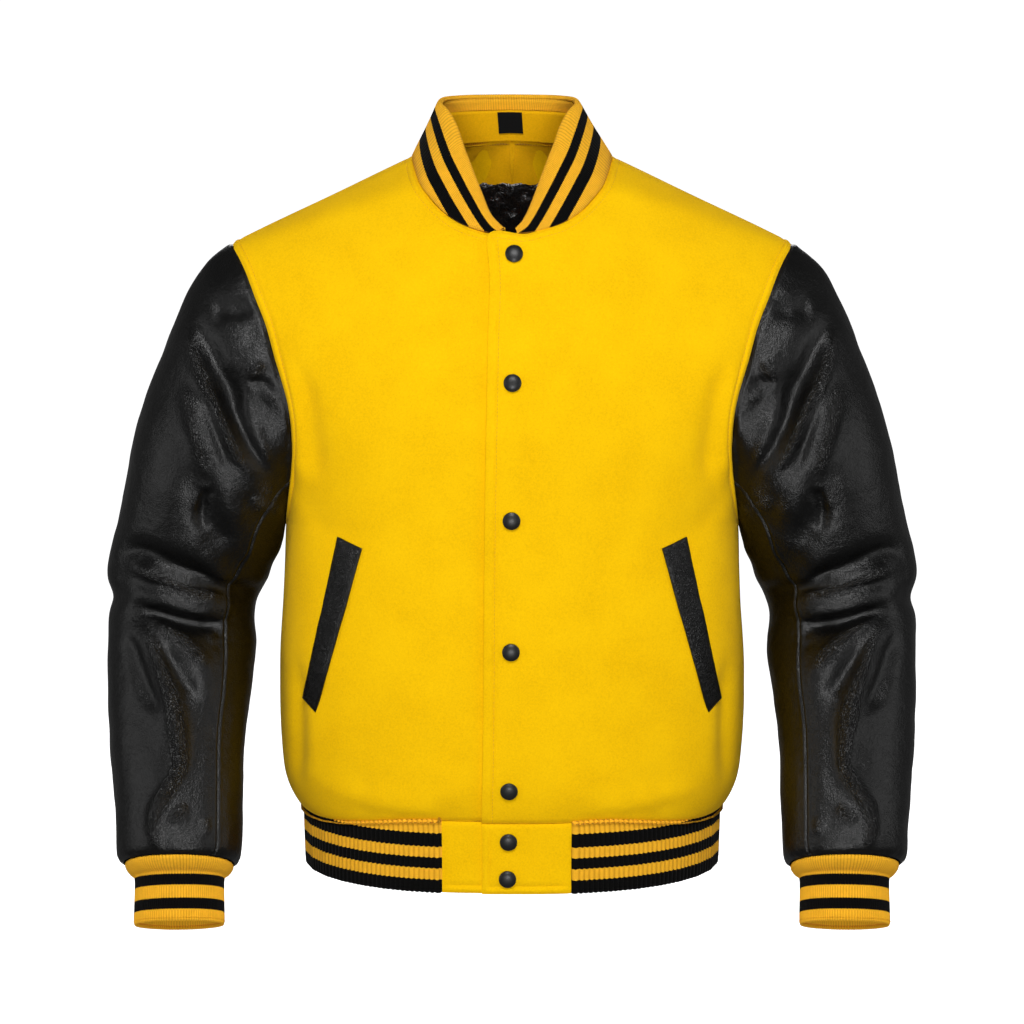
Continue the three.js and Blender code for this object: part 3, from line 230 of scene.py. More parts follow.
def fine_grid(grid, row_places, column_places, corner=None):
    """A fine grid through the given one. Its columns turn sharply at a corner row, the more so the nearer
    they are to the last one."""
    fine = spline(grid, row_places)
    if corner:
        low = row_places <= corner
        turned = np.concatenate([spline(grid[:corner + 1], row_places[low]),
                                 spline(grid[corner:], row_places[~low] - corner)])
        count = grid.shape[1]
        sharpness = smooth((np.arange(count) / (count - 1) - 0.35) / 0.5)
        fine += (turned - fine) * sharpness[:, None]
    return spline(fine.transpose(1, 0, 2), column_places).transpose(1, 0, 2)


def grid_normals(grid, turn, ring=False):
    if ring:
        across = np.roll(grid, -1, axis=1) - np.roll(grid, 1, axis=1)
    else:
        across = np.gradient(grid, axis=1)
    normals = np.cross(across, np.gradient(grid, axis=0)) * turn
    return normals / np.linalg.norm(normals, axis=2, keepdims=True)


def line_distance(points, line):
    """Distance of each point to a line of points, how far along the line that is (0 to 1), and, in two
    dimensions, the side of the line on which it lies."""
    best = np.full(len(points), np.inf)
    share = np.zeros(len(points))
    side = np.ones(len(points))
    lengths = np.linalg.norm(np.diff(line, axis=0), axis=1)
    before = 0
    for a, b, length in zip(line, line[1:], lengths):
        if length == 0:
            continue
        direction = (b - a) / length
        t = np.clip((points - a) @ direction, 0, length)
        away = points - a - t[:, None] * direction
        distance = np.linalg.norm(away, axis=1)
        nearer = distance < best
        best[nearer] = distance[nearer]
        share[nearer] = (before + t[nearer]) / lengths.sum()
        if points.shape[1] == 2:
            side[nearer] = np.where(direction[0] * away[:, 1] > direction[1] * away[:, 0], 1, -1)[nearer]
        before += length
    return best, share, side


def smooth(t):
    t = np.clip(t, 0, 1)
    return t * t * (3 - 2 * t)


FOLD_TAPER = 0.28
FOLD_END_WIDTH = 0.55


def fold_heights(grid, normals, folds, facing):
    """Height of the folds on a piece. A fold is a line in the front view, with its height (below zero for a
    hollow) and its width to either side. It runs out at its ends, unless they are open. facing is -1 for
    folds on the front and 1 for folds on the back."""
    points = grid.reshape(-1, 3)[:, [0, 2]]
    height = np.zeros(len(points))
    for fold in folds:
        line = np.array(fold["line"], float)
        if len(line) > 2:
            line = spline(line, np.linspace(0, len(line) - 1, 4 * len(line)))
        distance, share, side = line_distance(points, line)
        width = np.where(side > 0, fold["left"], fold["right"])
        ends = smooth(np.minimum(share, 1 - share) / FOLD_TAPER + fold.get("open", 0.0))
        width = width * (FOLD_END_WIDTH + (1 - FOLD_END_WIDTH) * ends)
        height += fold["height"] * np.exp(-(distance / width) ** 2) * ends
    seen = smooth((facing * normals[:, :, 1] - 0.05) / 0.35)
    return height.reshape(grid.shape[:2]) * seen


def rumple(grid, size, height, seed):
    """Uneven swell of the cloth, from smooth noise with bumps of about the given size."""
    shift = Vector((seed * 7.3, seed * 3.1, seed * 5.7))
    flat = [noise.noise(Vector(p) / size + shift) for p in grid.reshape(-1, 3)]
    return height * np.array(flat).reshape(grid.shape[:2])


GROOVE_DEPTH = 1.1
GROOVE_WIDTH = 1.15
GROOVE_FADE = 12.0
SEAM_SWELL = 0.45


def hump(distance, width):
    """A rounded profile, 1 high where the distance is 0."""
    return np.exp(-(distance / width) ** 2)


def edge_distance(grid, *edges):
    """Distance of each of a grid's points to the nearest of some lines."""
    points = grid.reshape(-1, 3)
    return np.minimum.reduce([line_distance(points, edge)[0] for edge in edges]).reshape(grid.shape[:2])


def seam_relief(grid, edge, sink, stitch=None, reach=2.0):
    """How the outer side turns down at a seam, swells beside it and dips along a row of stitches."""
    distance, share, _ = line_distance(grid.reshape(-1, 3), edge)
    length = np.linalg.norm(np.diff(edge, axis=0), axis=1).sum()
    beside = smooth(np.minimum(share, 1 - share) * length / GROOVE_FADE).reshape(grid.shape[:2])
    distance = distance.reshape(grid.shape[:2])
    relief = -sink * hump(distance, reach)
    if stitch:
        relief -= beside * GROOVE_DEPTH * hump(distance - stitch, GROOVE_WIDTH)
        relief += beside * SEAM_SWELL * hump(distance - 0.55 * stitch, 0.3 * stitch)
    return relief


def add_mesh(name, points, faces):
    mesh = bpy.data.meshes.new(name)
    mesh.from_pydata((np.array(points) * MM).tolist(), [], faces)
    mesh.polygons.foreach_set("use_smooth", [True] * len(mesh.polygons))
    piece = bpy.data.objects.new(name, mesh)
    scene.collection.objects.link(piece)
    return piece


def grid_faces(rows, columns, turn, start=0, ring=False):
    faces = []
    for i in range(rows - 1):
        for j in range(columns if ring else columns - 1):
            k = (j + 1) % columns
            low = start + i * columns
            quad = (low + j, low + k, low + columns + k, low + columns + j)
            faces.append(quad if turn > 0 else quad[::-1])
    return faces


def border_of(rows, columns):
    """Indices round a grid, in the order of its outer faces' edges."""
    first = list(range(columns))
    right = [i * columns + columns - 1 for i in range(1, rows)]
    last = [(rows - 1) * columns + j for j in range(columns - 2, -1, -1)]
    left = [i * columns for i in range(rows - 2, 0, -1)]
    return first + right + last + left


def shell(name, outer, inner, turn):
    """A closed cloth wall between an outer and an inner grid. turn says which way the outer one winds."""
    rows, columns = outer.shape[:2]
    total = rows * columns
    faces = grid_faces(rows, columns, turn) + grid_faces(rows, columns, -turn, start=total)
    border = border_of(rows, columns)
    for a, b in zip(border, border[1:] + border[:1]):
        rim = (b, a, a + total, b + total)
        faces.append(rim if turn > 0 else rim[::-1])
    return add_mesh(name, np.concatenate([outer.reshape(-1, 3), inner.reshape(-1, 3)]), faces)


def settle(piece, node_name):
    """Attaches a finished piece to the root and hides the CAD part that it replaces."""
    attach(piece, "root")
    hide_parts(node_name)


def new_material(name, values):
    """A material, its node tree, its shader with these values, and the place on the piece."""
    material = bpy.data.materials.new(name)
    material.use_nodes = True
    tree = material.node_tree
    shader = tree.nodes["Principled BSDF"]
    for key, value in values.items():
        shader.inputs[key].default_value = value
    where = tree.nodes.new("ShaderNodeTexCoord").outputs["Object"]
    return material, tree, shader, where


def node(tree, kind, inputs=None, **settings):
    made = tree.nodes.new(kind)
    for key, value in settings.items():
        setattr(made, key, value)
    for key, value in (inputs or {}).items():
        if isinstance(value, bpy.types.NodeSocket):
            tree.links.new(value, made.inputs[key])
        else:
            made.inputs[key].default_value = value
    return made


def math_node(tree, operation, first, second=0.0, clamp=False):
    made = node(tree, "ShaderNodeMath", {0: first, 1: second}, operation=operation, use_clamp=clamp)
    return made.outputs[0]


def noise_of(tree, where, scale, detail=2.0, roughness=0.5):
    inputs = {"Vector": where, "Scale": scale, "Detail": detail, "Roughness": roughness}
    return node(tree, "ShaderNodeTexNoise", inputs).outputs["Fac"]


def ramp(tree, factor, stops, interpolation="LINEAR"):
    made = node(tree, "ShaderNodeValToRGB", {"Fac": factor})
    made.color_ramp.interpolation = interpolation
    elements = made.color_ramp.elements
    while len(elements) < len(stops):
        elements.new(0.5)
    for element, (position, colour) in zip(elements, stops):
        element.position = position
        element.color = (*colour, 1)
    return made.outputs["Color"]


def bumped(tree, height, strength, distance, normal=None):
    inputs = {"Height": height, "Strength": strength, "Distance": distance}
    if normal is not None:
        inputs["Normal"] = normal
    return node(tree, "ShaderNodeBump", inputs).outputs["Normal"]


def wool_material(name, dark, middle, light):
    """Brushed melton: fine felted fibres, a soft mottled colour and a low sheen."""
    material, tree, shader, where = new_material(name, {
        "Roughness": 1.0, "Specular IOR Level": 0.06, "Sheen Weight": 0.2, "Sheen Roughness": 0.5,
        "Sheen Tint": (1.0, 0.72, 0.12, 1)})
    cloud = math_node(tree, "MULTIPLY", noise_of(tree, where, scale=24.0, detail=3.0), 0.35)
    speck = math_node(tree, "MULTIPLY", noise_of(tree, where, scale=620.0, detail=3.0, roughness=0.65), 0.65)
    mixed = math_node(tree, "ADD", cloud, speck)
    colour = ramp(tree, mixed, [(0.32, dark), (0.5, middle), (0.68, light)])
    tree.links.new(colour, shader.inputs["Base Color"])
    felt = bumped(tree, noise_of(tree, where, scale=420.0, detail=4.0, roughness=0.7),
                  strength=0.55, distance=0.0006)
    stretched = node(tree, "ShaderNodeMapping", {"Vector": where, "Scale": (1.0, 1.0, 3.2)})
    fibre = node(tree, "ShaderNodeTexNoise", {"Vector": stretched.outputs["Vector"], "Scale": 1150.0,
                                              "Detail": 2.0, "Distortion": 1.5}).outputs["Fac"]
    tree.links.new(bumped(tree, fibre, strength=0.45, distance=0.0004, normal=felt), shader.inputs["Normal"])
    return material


WOOL_DARK = (0.82, 0.455, 0.001)
WOOL_MIDDLE = (0.92, 0.53, 0.0012)
WOOL_LIGHT = (0.98, 0.585, 0.002)
wool = wool_material("yellow_wool", WOOL_DARK, WOOL_MIDDLE, WOOL_LIGHT)

EDGE_STEPS = [0, 0.7, 1.6, 3.0, 4.8, 6.2, 7.2, 8.2, 9.5, 11.5]
BODY_CELL = 4.2
SEAM_SINK = 1.3
DEEPEST_SINK = 1.7
HEM_REACH = 3.0
PLACKET_SINK = 0.4
EDGE_STITCH = 7.0
PLACKET_STITCH = 9.5
FOLD_MARGIN = 14.0
NECK_ROWS = 8
ARMHOLE_FIRST_ROW = 9
OVERLAP_X = -23.0
OVERLAP_WIDTH = 9.0
OVERLAP_HOLLOW = 1.3

# Soft folds of the body, in mm in the front view: below the armholes, beside the hem and along the blouse
FRONT_FOLDS = [
    {"line": [(197, -160), (190, -225), (184, -300)], "height": 4.0, "left": 10, "right": 8},
    {"line": [(186, -165), (178, -215), (170, -280)], "height": -4.5, "left": 10, "right": 10},
    {"line": [(202, -255), (178, -300), (160, -330)], "height": -1.6, "left": 9, "right": 12},
    {"line": [(192, -430), (190, -500), (193, -562)], "height": -4.0, "left": 6, "right": 8},
    {"line": [(180, -455), (178, -515), (182, -565)], "height": 1.8, "left": 8, "right": 10},
    {"line": [(172, -548), (120, -560), (60, -565)], "height": 1.6, "left": 7, "right": 11, "open": 0.2},
    {"line": [(150, -530), (100, -540), (50, -538)], "height": -1.2, "left": 12, "right": 10},
    {"line": [(138, -572), (132, -556), (130, -536)], "height": -1.3, "left": 5, "right": 5, "open": 0.3},
    {"line": [(112, -572), (108, -558), (109, -545)], "height": -1.1, "left": 4, "right": 5, "open": 0.3},
    {"line": [(88, -573), (86, -560), (84, -546)], "height": -1.0, "left": 5, "right": 4, "open": 0.3},
    {"line": [(120, -90), (126, -150), (128, -210)], "height": 1.2, "left": 16, "right": 14},
    {"line": [(60, -100), (66, -170), (62, -240)], "height": -0.8, "left": 18, "right": 16},
]
BACK_FOLDS = [
    {"line": [(196, -180), (186, -240), (176, -320)], "height": 2.6, "left": 12, "right": 10},
    {"line": [(176, -200), (165, -270), (160, -330)], "height": -1.4, "left": 12, "right": 12},
    {"line": [(150, -120), (120, -150), (70, -165)], "height": 1.0, "left": 18, "right": 18},
    {"line": [(186, -470), (182, -520), (186, -566)], "height": 1.8, "left": 8, "right": 8},
    {"line": [(150, -540), (90, -548), (30, -550)], "height": 1.3, "left": 10, "right": 12, "open": 0.2},
    {"line": [(60, -300), (66, -400), (58, -500)], "height": 0.9, "left": 22, "right": 20},
]


def mirrored_folds(folds):
    return [{**fold, "line": [(-x, z) for x, z in fold["line"]],
             "left": fold["right"], "right": fold["left"]} for fold in folds]


def front_panel(side):
    sign = 1 if side == "left" else -1
    outer, _, turn = wall_grids(f"front_{side}", (-sign, 0, -1), (sign, 0, 0), BODY_ROWS, BODY_COLUMNS)
    outer = let_out(outer, ("first row", "last row", "last column"))
    rows = places(outer, 0, BODY_CELL, EDGE_STEPS)
    columns = places(outer, 1, BODY_CELL, EDGE_STEPS)
    grid = fine_grid(outer, rows, columns, ARMHOLE_FIRST_ROW)
    normals = grid_normals(grid, turn)
    folds = FRONT_FOLDS if side == "left" else mirrored_folds(FRONT_FOLDS)
    height = fold_heights(grid, normals, folds, facing=-1)
    height = (height + rumple(grid, size=70.0, height=0.7, seed=1)
              + rumple(grid, size=26.0, height=0.25, seed=2))
    height *= smooth(edge_distance(grid, grid[:, -1], grid[-1], grid[0]) / FOLD_MARGIN)
    placket = grid[rows <= BODY_ROWS - NECK_ROWS, 0]
    neckline = grid[rows >= BODY_ROWS - NECK_ROWS, 0]
    armhole = grid[rows >= ARMHOLE_FIRST_ROW, -1]
    side_seam = grid[rows <= ARMHOLE_FIRST_ROW, -1]
    relief = (seam_relief(grid, placket, PLACKET_SINK, PLACKET_STITCH if side == "left" else None)
              + seam_relief(grid, neckline, SEAM_SINK, EDGE_STITCH)
              + seam_relief(grid, armhole, SEAM_SINK, EDGE_STITCH)
              + seam_relief(grid, side_seam, SEAM_SINK)
              + seam_relief(grid, grid[-1], SEAM_SINK)
              + seam_relief(grid, grid[0], SEAM_SINK, reach=HEM_REACH))
    if side == "right":
        height -= OVERLAP_HOLLOW * hump(grid[:, :, 0] - OVERLAP_X, OVERLAP_WIDTH)
    base = grid + normals * height[:, :, None]
    top = base + normals * np.maximum(relief, -DEEPEST_SINK)[:, :, None]
    piece = shell(f"wool_front_{side}", top, base - normals * WOOL_THICK, turn)
    piece.data.materials.append(wool)
    settle(piece, f"front_{side}")
    return {"top": top, "normals": normals, "placket": placket, "neckline": neckline, "armhole": armhole}


fronts = {side: front_panel(side) for side in ("left", "right")}


def open_middle(half, turn_rows):
    """A half panel with three columns more beyond the middle, so that the whole panel is smooth there."""
    extra = []
    for k in (3, 2, 1):
        mirror = half[:, k] * (-1, 1, 1)
        carried = half[:, 0] * (1 + k) - half[:, 1] * k
        extra.append(np.where(np.arange(len(half))[:, None] <= turn_rows, mirror, carried))
    return np.concatenate([np.stack(extra, axis=1), half], axis=1)


MIDDLE_REACH = 1e-5


def both_halves(name, top, low, turn):
    """Joins a half panel and its mirror image to one closed wall."""
    whole, mirrored = [shell(name, top * (sign, 1, 1), low * (sign, 1, 1), turn * sign) for sign in (1, -1)]
    mesh = bmesh.new()
    for piece in (whole, mirrored):
        mesh.from_mesh(piece.data)
    middle = [v for v in mesh.verts if abs(v.co.x) < MIDDLE_REACH]
    bmesh.ops.remove_doubles(mesh, verts=middle, dist=MIDDLE_REACH)
    walls = [f for f in mesh.faces if all(abs(v.co.x) < MIDDLE_REACH for v in f.verts)]
    bmesh.ops.delete(mesh, geom=walls, context="FACES_ONLY")
    mesh.to_mesh(whole.data)
    mesh.free()
    spare = mirrored.data
    bpy.data.objects.remove(mirrored)
    bpy.data.meshes.remove(spare)
    return whole


def back_panel():
    outer, _, turn = wall_grids("back", (-1, 0, -1), (1, 0, 0), BODY_ROWS, BODY_COLUMNS)
    half = let_out(outer[:, ::-1] * (-1, 1, 1), ("first row", "last row", "last column"))
    neck_row = int(np.argmax(half[:, 0, 0] > 1)) - 1  # the last row that still reaches the middle
    wide = open_middle(half, neck_row)
    rows = places(half, 0, BODY_CELL, EDGE_STEPS)
    columns = places(half, 1, BODY_CELL, EDGE_STEPS)
    grid = fine_grid(wide, rows, columns + 3, ARMHOLE_FIRST_ROW)
    middle = rows <= neck_row + 0.01
    neck = grid[~middle, 0]
    grid[middle, 0, 0] = 0
    normals = grid_normals(grid, turn)
    normals[middle, 0, 0] = 0
    normals /= np.linalg.norm(normals, axis=2, keepdims=True)
    height = fold_heights(grid, normals, BACK_FOLDS, facing=1) + rumple(grid, size=80.0, height=0.7, seed=4)
    height *= smooth(edge_distance(grid, grid[:, -1], grid[-1], grid[0], neck) / FOLD_MARGIN)
    armhole = grid[rows >= ARMHOLE_FIRST_ROW, -1]
    side_seam = grid[rows <= ARMHOLE_FIRST_ROW, -1]
    neckline = grid[rows >= neck_row, 0]
    relief = (seam_relief(grid, armhole, SEAM_SINK, EDGE_STITCH)
              + seam_relief(grid, side_seam, SEAM_SINK)
              + seam_relief(grid, neckline, SEAM_SINK, EDGE_STITCH)
              + seam_relief(grid, grid[-1], SEAM_SINK)
              + seam_relief(grid, grid[0], SEAM_SINK, reach=HEM_REACH))
    base = grid + normals * height[:, :, None]
    top = base + normals * np.maximum(relief, -DEEPEST_SINK)[:, :, None]
    piece = both_halves("wool_back", top, base - normals * WOOL_THICK, turn)
    piece.data.materials.append(wool)
    settle(piece, "back")
    return {"top": top, "normals": normals, "neckline": neckline, "armhole": armhole}


back = back_panel()


# Sleeves: smooth black leather, each of an upper and an under part, sewn into the armholes and down both
# sides of the arm. The leather falls in soft folds above the elbow and in sharper ones inside it.
LEATHER_THICK = 1.6
SLEEVE_ROWS = 24
TOP_COLUMNS = 19
UNDER_COLUMNS = 9
SLEEVE_CELL = 2.9
SLEEVE_STEPS = [0, 0.6, 1.4, 2.4, 3.8, 5.6]
LEATHER_SEAM_SINK = 0.9
ARMHOLE_SINK = 1.4
CUFF_SINK = 1.6
SEAM_ALLOWANCE = [(1.2, 1.2), (3.0, 2.2), (6.0, 3.0)]  # how far into the body, and how deep under the surface
FOLD_DEPTH = 1.5
UNDERARM_BULGE = 3.2
UNDERARM_Z = -297.0

# Folds as seen from the front on the wearer's right sleeve, in mm
SLEEVE_FOLDS = [
    {"line": [(-282, -133), (-267, -158), (-249, -195), (-232, -234), (-214, -274)],
     "height": -5.0, "left": 8, "right": 9},
    {"line": [(-288, -142), (-275, -177), (-263, -204), (-247, -238), (-232, -267), (-225, -273)],
     "height": 3.2, "left": 6, "right": 6},
    {"line": [(-288, -186), (-281, -223), (-272, -258), (-270, -276)],
     "height": 2.0, "left": 6, "right": 6},
    {"line": [(-271, -193), (-255, -245), (-247, -270)], "height": -2.0, "left": 5, "right": 5},
    {"line": [(-259, -284), (-270, -288), (-273, -302), (-271, -324)],
     "height": -3.4, "left": 5, "right": 6},
    {"line": [(-263, -278), (-276, -290), (-278, -306)], "height": 2.0, "left": 4, "right": 5},
    {"line": [(-232, -186), (-223, -178), (-213, -174)], "height": 2.2, "left": 5, "right": 4},
    {"line": [(-232, -192), (-219, -190), (-207, -194)], "height": -2.6, "left": 4, "right": 4},
    {"line": [(-219, -198), (-211, -203), (-201, -209)], "height": 1.6, "left": 4, "right": 4},
    {"line": [(-233, -192), (-235, -215), (-225, -237), (-211, -267)],
     "height": 2.4, "left": 6, "right": 6},
    {"line": [(-268, -128), (-247, -128), (-226, -129)], "height": -2.2, "left": 8, "right": 8},
    {"line": [(-226, -289), (-221, -301), (-212, -296)], "height": 1.8, "left": 6, "right": 6},
    {"line": [(-355, -357), (-343, -347), (-329, -344), (-298, -357), (-271, -368), (-249, -381)],
     "height": -6.0, "left": 11, "right": 9},
    {"line": [(-346, -364), (-326, -361), (-292, -373), (-263, -383), (-252, -387)],
     "height": 2.8, "left": 6, "right": 6},
    {"line": [(-331, -392), (-313, -398), (-293, -403), (-266, -408), (-249, -406)],
     "height": -5.6, "left": 5, "right": 6},
    {"line": [(-334, -389), (-326, -410), (-313, -434), (-303, -462), (-296, -486), (-293, -510),
              (-293, -523),
              (-302, -539), (-312, -556), (-315, -573), (-310, -588), (-299, -602), (-289, -603)],
     "height": 3.4, "left": 7, "right": 6},
    {"line": [(-342, -410), (-329, -449), (-309, -483)], "height": -3.6, "left": 8, "right": 8},
    {"line": [(-325, -393), (-297, -415), (-278, -432), (-263, -449)],
     "height": 2.2, "left": 6, "right": 6},
    {"line": [(-311, -419), (-292, -448), (-276, -468)], "height": -2.6, "left": 7, "right": 7},
    {"line": [(-259, -407), (-248, -406)], "height": -1.2, "left": 3, "right": 3, "open": 0.4},
    {"line": [(-264, -416), (-250, -418)], "height": -1.2, "left": 3, "right": 3, "open": 0.4},
    {"line": [(-264, -426), (-250, -425)], "height": -1.0, "left": 3, "right": 3, "open": 0.4},
    {"line": [(-284, -553), (-302, -569)], "height": 1.6, "left": 6, "right": 6},
    {"line": [(-270, -566), (-266, -580)], "height": 1.2, "left": 5, "right": 5},
]
# Folds at the back of the same sleeve, as seen from the front
SLEEVE_BACK_FOLDS = [
    {"line": [(-284, -150), (-270, -190), (-252, -235), (-236, -280)],
     "height": -3.6, "left": 10, "right": 9},
    {"line": [(-294, -170), (-282, -215), (-268, -260)], "height": 2.4, "left": 8, "right": 8},
    {"line": [(-262, -150), (-248, -190), (-232, -240)], "height": 2.0, "left": 8, "right": 7},
    {"line": [(-350, -350), (-325, -356), (-295, -350), (-262, -338)],
     "height": -3.4, "left": 10, "right": 10},
    {"line": [(-346, -372), (-318, -380), (-285, -372), (-255, -360)],
     "height": 2.4, "left": 8, "right": 8},
    {"line": [(-340, -400), (-312, -408), (-280, -398)], "height": -2.8, "left": 8, "right": 7},
    {"line": [(-336, -430), (-322, -470), (-312, -510), (-308, -560)],
     "height": 2.4, "left": 9, "right": 9},
    {"line": [(-318, -440), (-300, -480), (-290, -520)], "height": -2.2, "left": 9, "right": 9},
    {"line": [(-300, -560), (-290, -590)], "height": 1.6, "left": 7, "right": 7},
]


def leather_material():
    """Smooth calfskin: near black, with a fine pebbled grain, small creases and a soft broken gloss. It is
    glossier and more deeply grained on the crests of its folds, and greyer there in broken patches, which is
    a painted highlight in its base colour."""
    material, tree, shader, where = new_material("black_leather", {"Specular IOR Level": 0.34})
    crest = node(tree, "ShaderNodeAttribute", attribute_name="crest").outputs["Fac"]
    painted_highlight_breakup = noise_of(tree, where, scale=150.0, detail=4.0, roughness=0.7)
    # Painted highlight: the base colour goes from near black to dark grey on the fold crests, broken up by
    # noise.
    colour = ramp(tree, math_node(tree, "MULTIPLY", crest, painted_highlight_breakup),
                  [(0.1, (0.0008, 0.0008, 0.0007)), (0.6, (0.0100, 0.0098, 0.0095))])
    tree.links.new(colour, shader.inputs["Base Color"])
    gloss = node(tree, "ShaderNodeMapRange", {"Value": crest, "To Min": 0.35, "To Max": 0.21})
    tree.links.new(gloss.outputs["Result"], shader.inputs["Roughness"])
    bent = node(tree, "ShaderNodeTexNoise", {"Vector": where, "Scale": 260.0, "Detail": 2.0})
    nudged = node(tree, "ShaderNodeVectorMath", {0: bent.outputs["Color"], 1: (0.002, 0.002, 0.002)},
                  operation="MULTIPLY").outputs[0]
    around = node(tree, "ShaderNodeVectorMath", {0: where, 1: nudged}, operation="ADD").outputs[0]
    pebble = node(tree, "ShaderNodeTexVoronoi", {"Vector": around, "Scale": 480.0},
                  feature="DISTANCE_TO_EDGE")
    grain = math_node(tree, "MULTIPLY", pebble.outputs["Distance"], 3.0, clamp=True)
    grain = math_node(tree, "MULTIPLY", grain, math_node(tree, "ADD", 0.15, crest))
    swell = bumped(tree, noise_of(tree, where, scale=75.0, detail=2.0), strength=0.3, distance=0.003)
    creases = bumped(tree, noise_of(tree, where, scale=260.0, detail=5.0, roughness=0.66),
                     strength=0.6, distance=0.0008, normal=swell)
    grained = bumped(tree, grain, strength=1.0, distance=0.0007, normal=creases)
    tree.links.new(grained, shader.inputs["Normal"])
    return material


leather = leather_material()


def mark_crests(piece, crest):
    """Stores on a leather piece where its folds crest, which gives them more gloss and a painted highlight in
    the base colour, for its outer side and then its inner.
    """
    values = np.concatenate([crest.ravel(), np.zeros(crest.size)]).astype(np.float32)
    piece.data.attributes.new("crest", "FLOAT", "POINT").data.foreach_set("value", values)


def sleeve_part(side, part):
    sign = 1 if side == "left" else -1
    name = f"sleeve_{part}_{side}"
    if part == "top":
        outer, _, turn = wall_grids(name, (-sign, -1, 0.3), (sign, 0, 1), SLEEVE_ROWS, TOP_COLUMNS)
    else:
        outer, _, turn = wall_grids(name, (-sign, -1, 0.3), (-sign, 0, -1), SLEEVE_ROWS, UNDER_COLUMNS)
        outer = outer[::-1]
        turn = -turn
    outer = let_out(outer, ("first column", "last column"), 0.3)
    rows = places(outer, 0, SLEEVE_CELL, SLEEVE_STEPS)
    columns = places(outer, 1, SLEEVE_CELL, SLEEVE_STEPS)
    grid = fine_grid(outer, rows, columns)
    normals = grid_normals(grid, turn)
    front_folds = SLEEVE_FOLDS if side == "right" else mirrored_folds(SLEEVE_FOLDS)
    back_folds = SLEEVE_BACK_FOLDS if side == "right" else mirrored_folds(SLEEVE_BACK_FOLDS)
    folds = (fold_heights(grid, normals, front_folds, facing=-1)
             + fold_heights(grid, normals, back_folds, facing=1))
    height = FOLD_DEPTH * folds
    height = (height + rumple(grid, size=34.0, height=1.3, seed=11)
              + rumple(grid, size=13.0, height=0.3, seed=12))
    towards_body = -sign * normals[:, :, 0]
    height += UNDERARM_BULGE * hump(grid[:, :, 2] - UNDERARM_Z, 17) * smooth((towards_body - 0.3) / 0.5)

    # The folds run out at the armhole and the cuff, and are lower where a seam holds them.
    armhole = edge_distance(grid, grid[-1])
    cuff_end = edge_distance(grid, grid[0])
    seams = edge_distance(grid, grid[:, 0], grid[:, -1])
    height *= smooth(np.minimum(armhole, cuff_end) / 16)
    height *= 0.35 + 0.65 * smooth(seams / 12)

    # The leather is eased into both ends in small gathers. Under the arm it isn't sunk at the armhole but let
    # out against the wool, because the two face each other there.
    gathers = rumple(grid, size=9.0, height=1.0, seed=13)
    meets_body = smooth((towards_body - 0.25) / 0.35)
    relief = (seam_relief(grid, grid[:, 0], LEATHER_SEAM_SINK, reach=1.2)
              + seam_relief(grid, grid[:, -1], LEATHER_SEAM_SINK, reach=1.2)
              + 0.5 * hump(seams - 2.6, 1.3)
              + gathers * smooth((14 - armhole) / 12) * smooth(armhole / 3)
              + 0.7 * gathers * smooth((12 - cuff_end) / 10) * smooth(cuff_end / 3)
              + ARMHOLE_SINK * (2 * meets_body - 1) * hump(armhole, 2.4) - CUFF_SINK * hump(cuff_end, 3.0))
    base = grid + normals * height[:, :, None]
    top = base + normals * np.clip(relief, -1.9, 1.5)[:, :, None]
    low = base - normals * (LEATHER_THICK + 0.6)

    # Beyond the armhole's seam its allowance turns in under the wool.
    inward = grid[-1] - grid[-2]
    inward /= np.linalg.norm(inward, axis=1, keepdims=True)
    sinks = normals[-1] * (1 - meets_body[-1])[:, None]
    turned_in = [inward * along - sinks * depth for along, depth in SEAM_ALLOWANCE]
    top = np.concatenate([top, [top[-1] + step for step in turned_in]])
    low = np.concatenate([low, [low[-1] + step for step in turned_in]])
    piece = shell(f"leather_{name}", top, low, turn)
    piece.data.materials.append(leather)
    # The crests of the folds get more gloss and a painted highlight, a lighter base colour.
    crest = smooth(height / 4)
    mark_crests(piece, np.concatenate([crest, np.zeros((len(turned_in), crest.shape[1]))]))
    settle(piece, name)


for side, part in itertools.product(("left", "right"), ("top", "under")):
    sleeve_part(side, part)


# Collar: a stand of striped rib knit, knitted double, folded over at its top edge and sewn into the neck
# seam. The ribs stand upright and the stripes follow the edge down to the front.
COLLAR_STRIPES = [("yellow", 8.6), ("black", 8.8), ("yellow", 9.3), ("black", 11.0), ("yellow", 99.0)]
COLLAR_PITCH = 1.9
COLLAR_RIB_HEIGHT = 0.42
KNIT_YELLOW = (0.90, 0.45, 0.022)
KNIT_BLACK = (0.0022, 0.0021, 0.0020)


STRIPES_REACH = 100.0


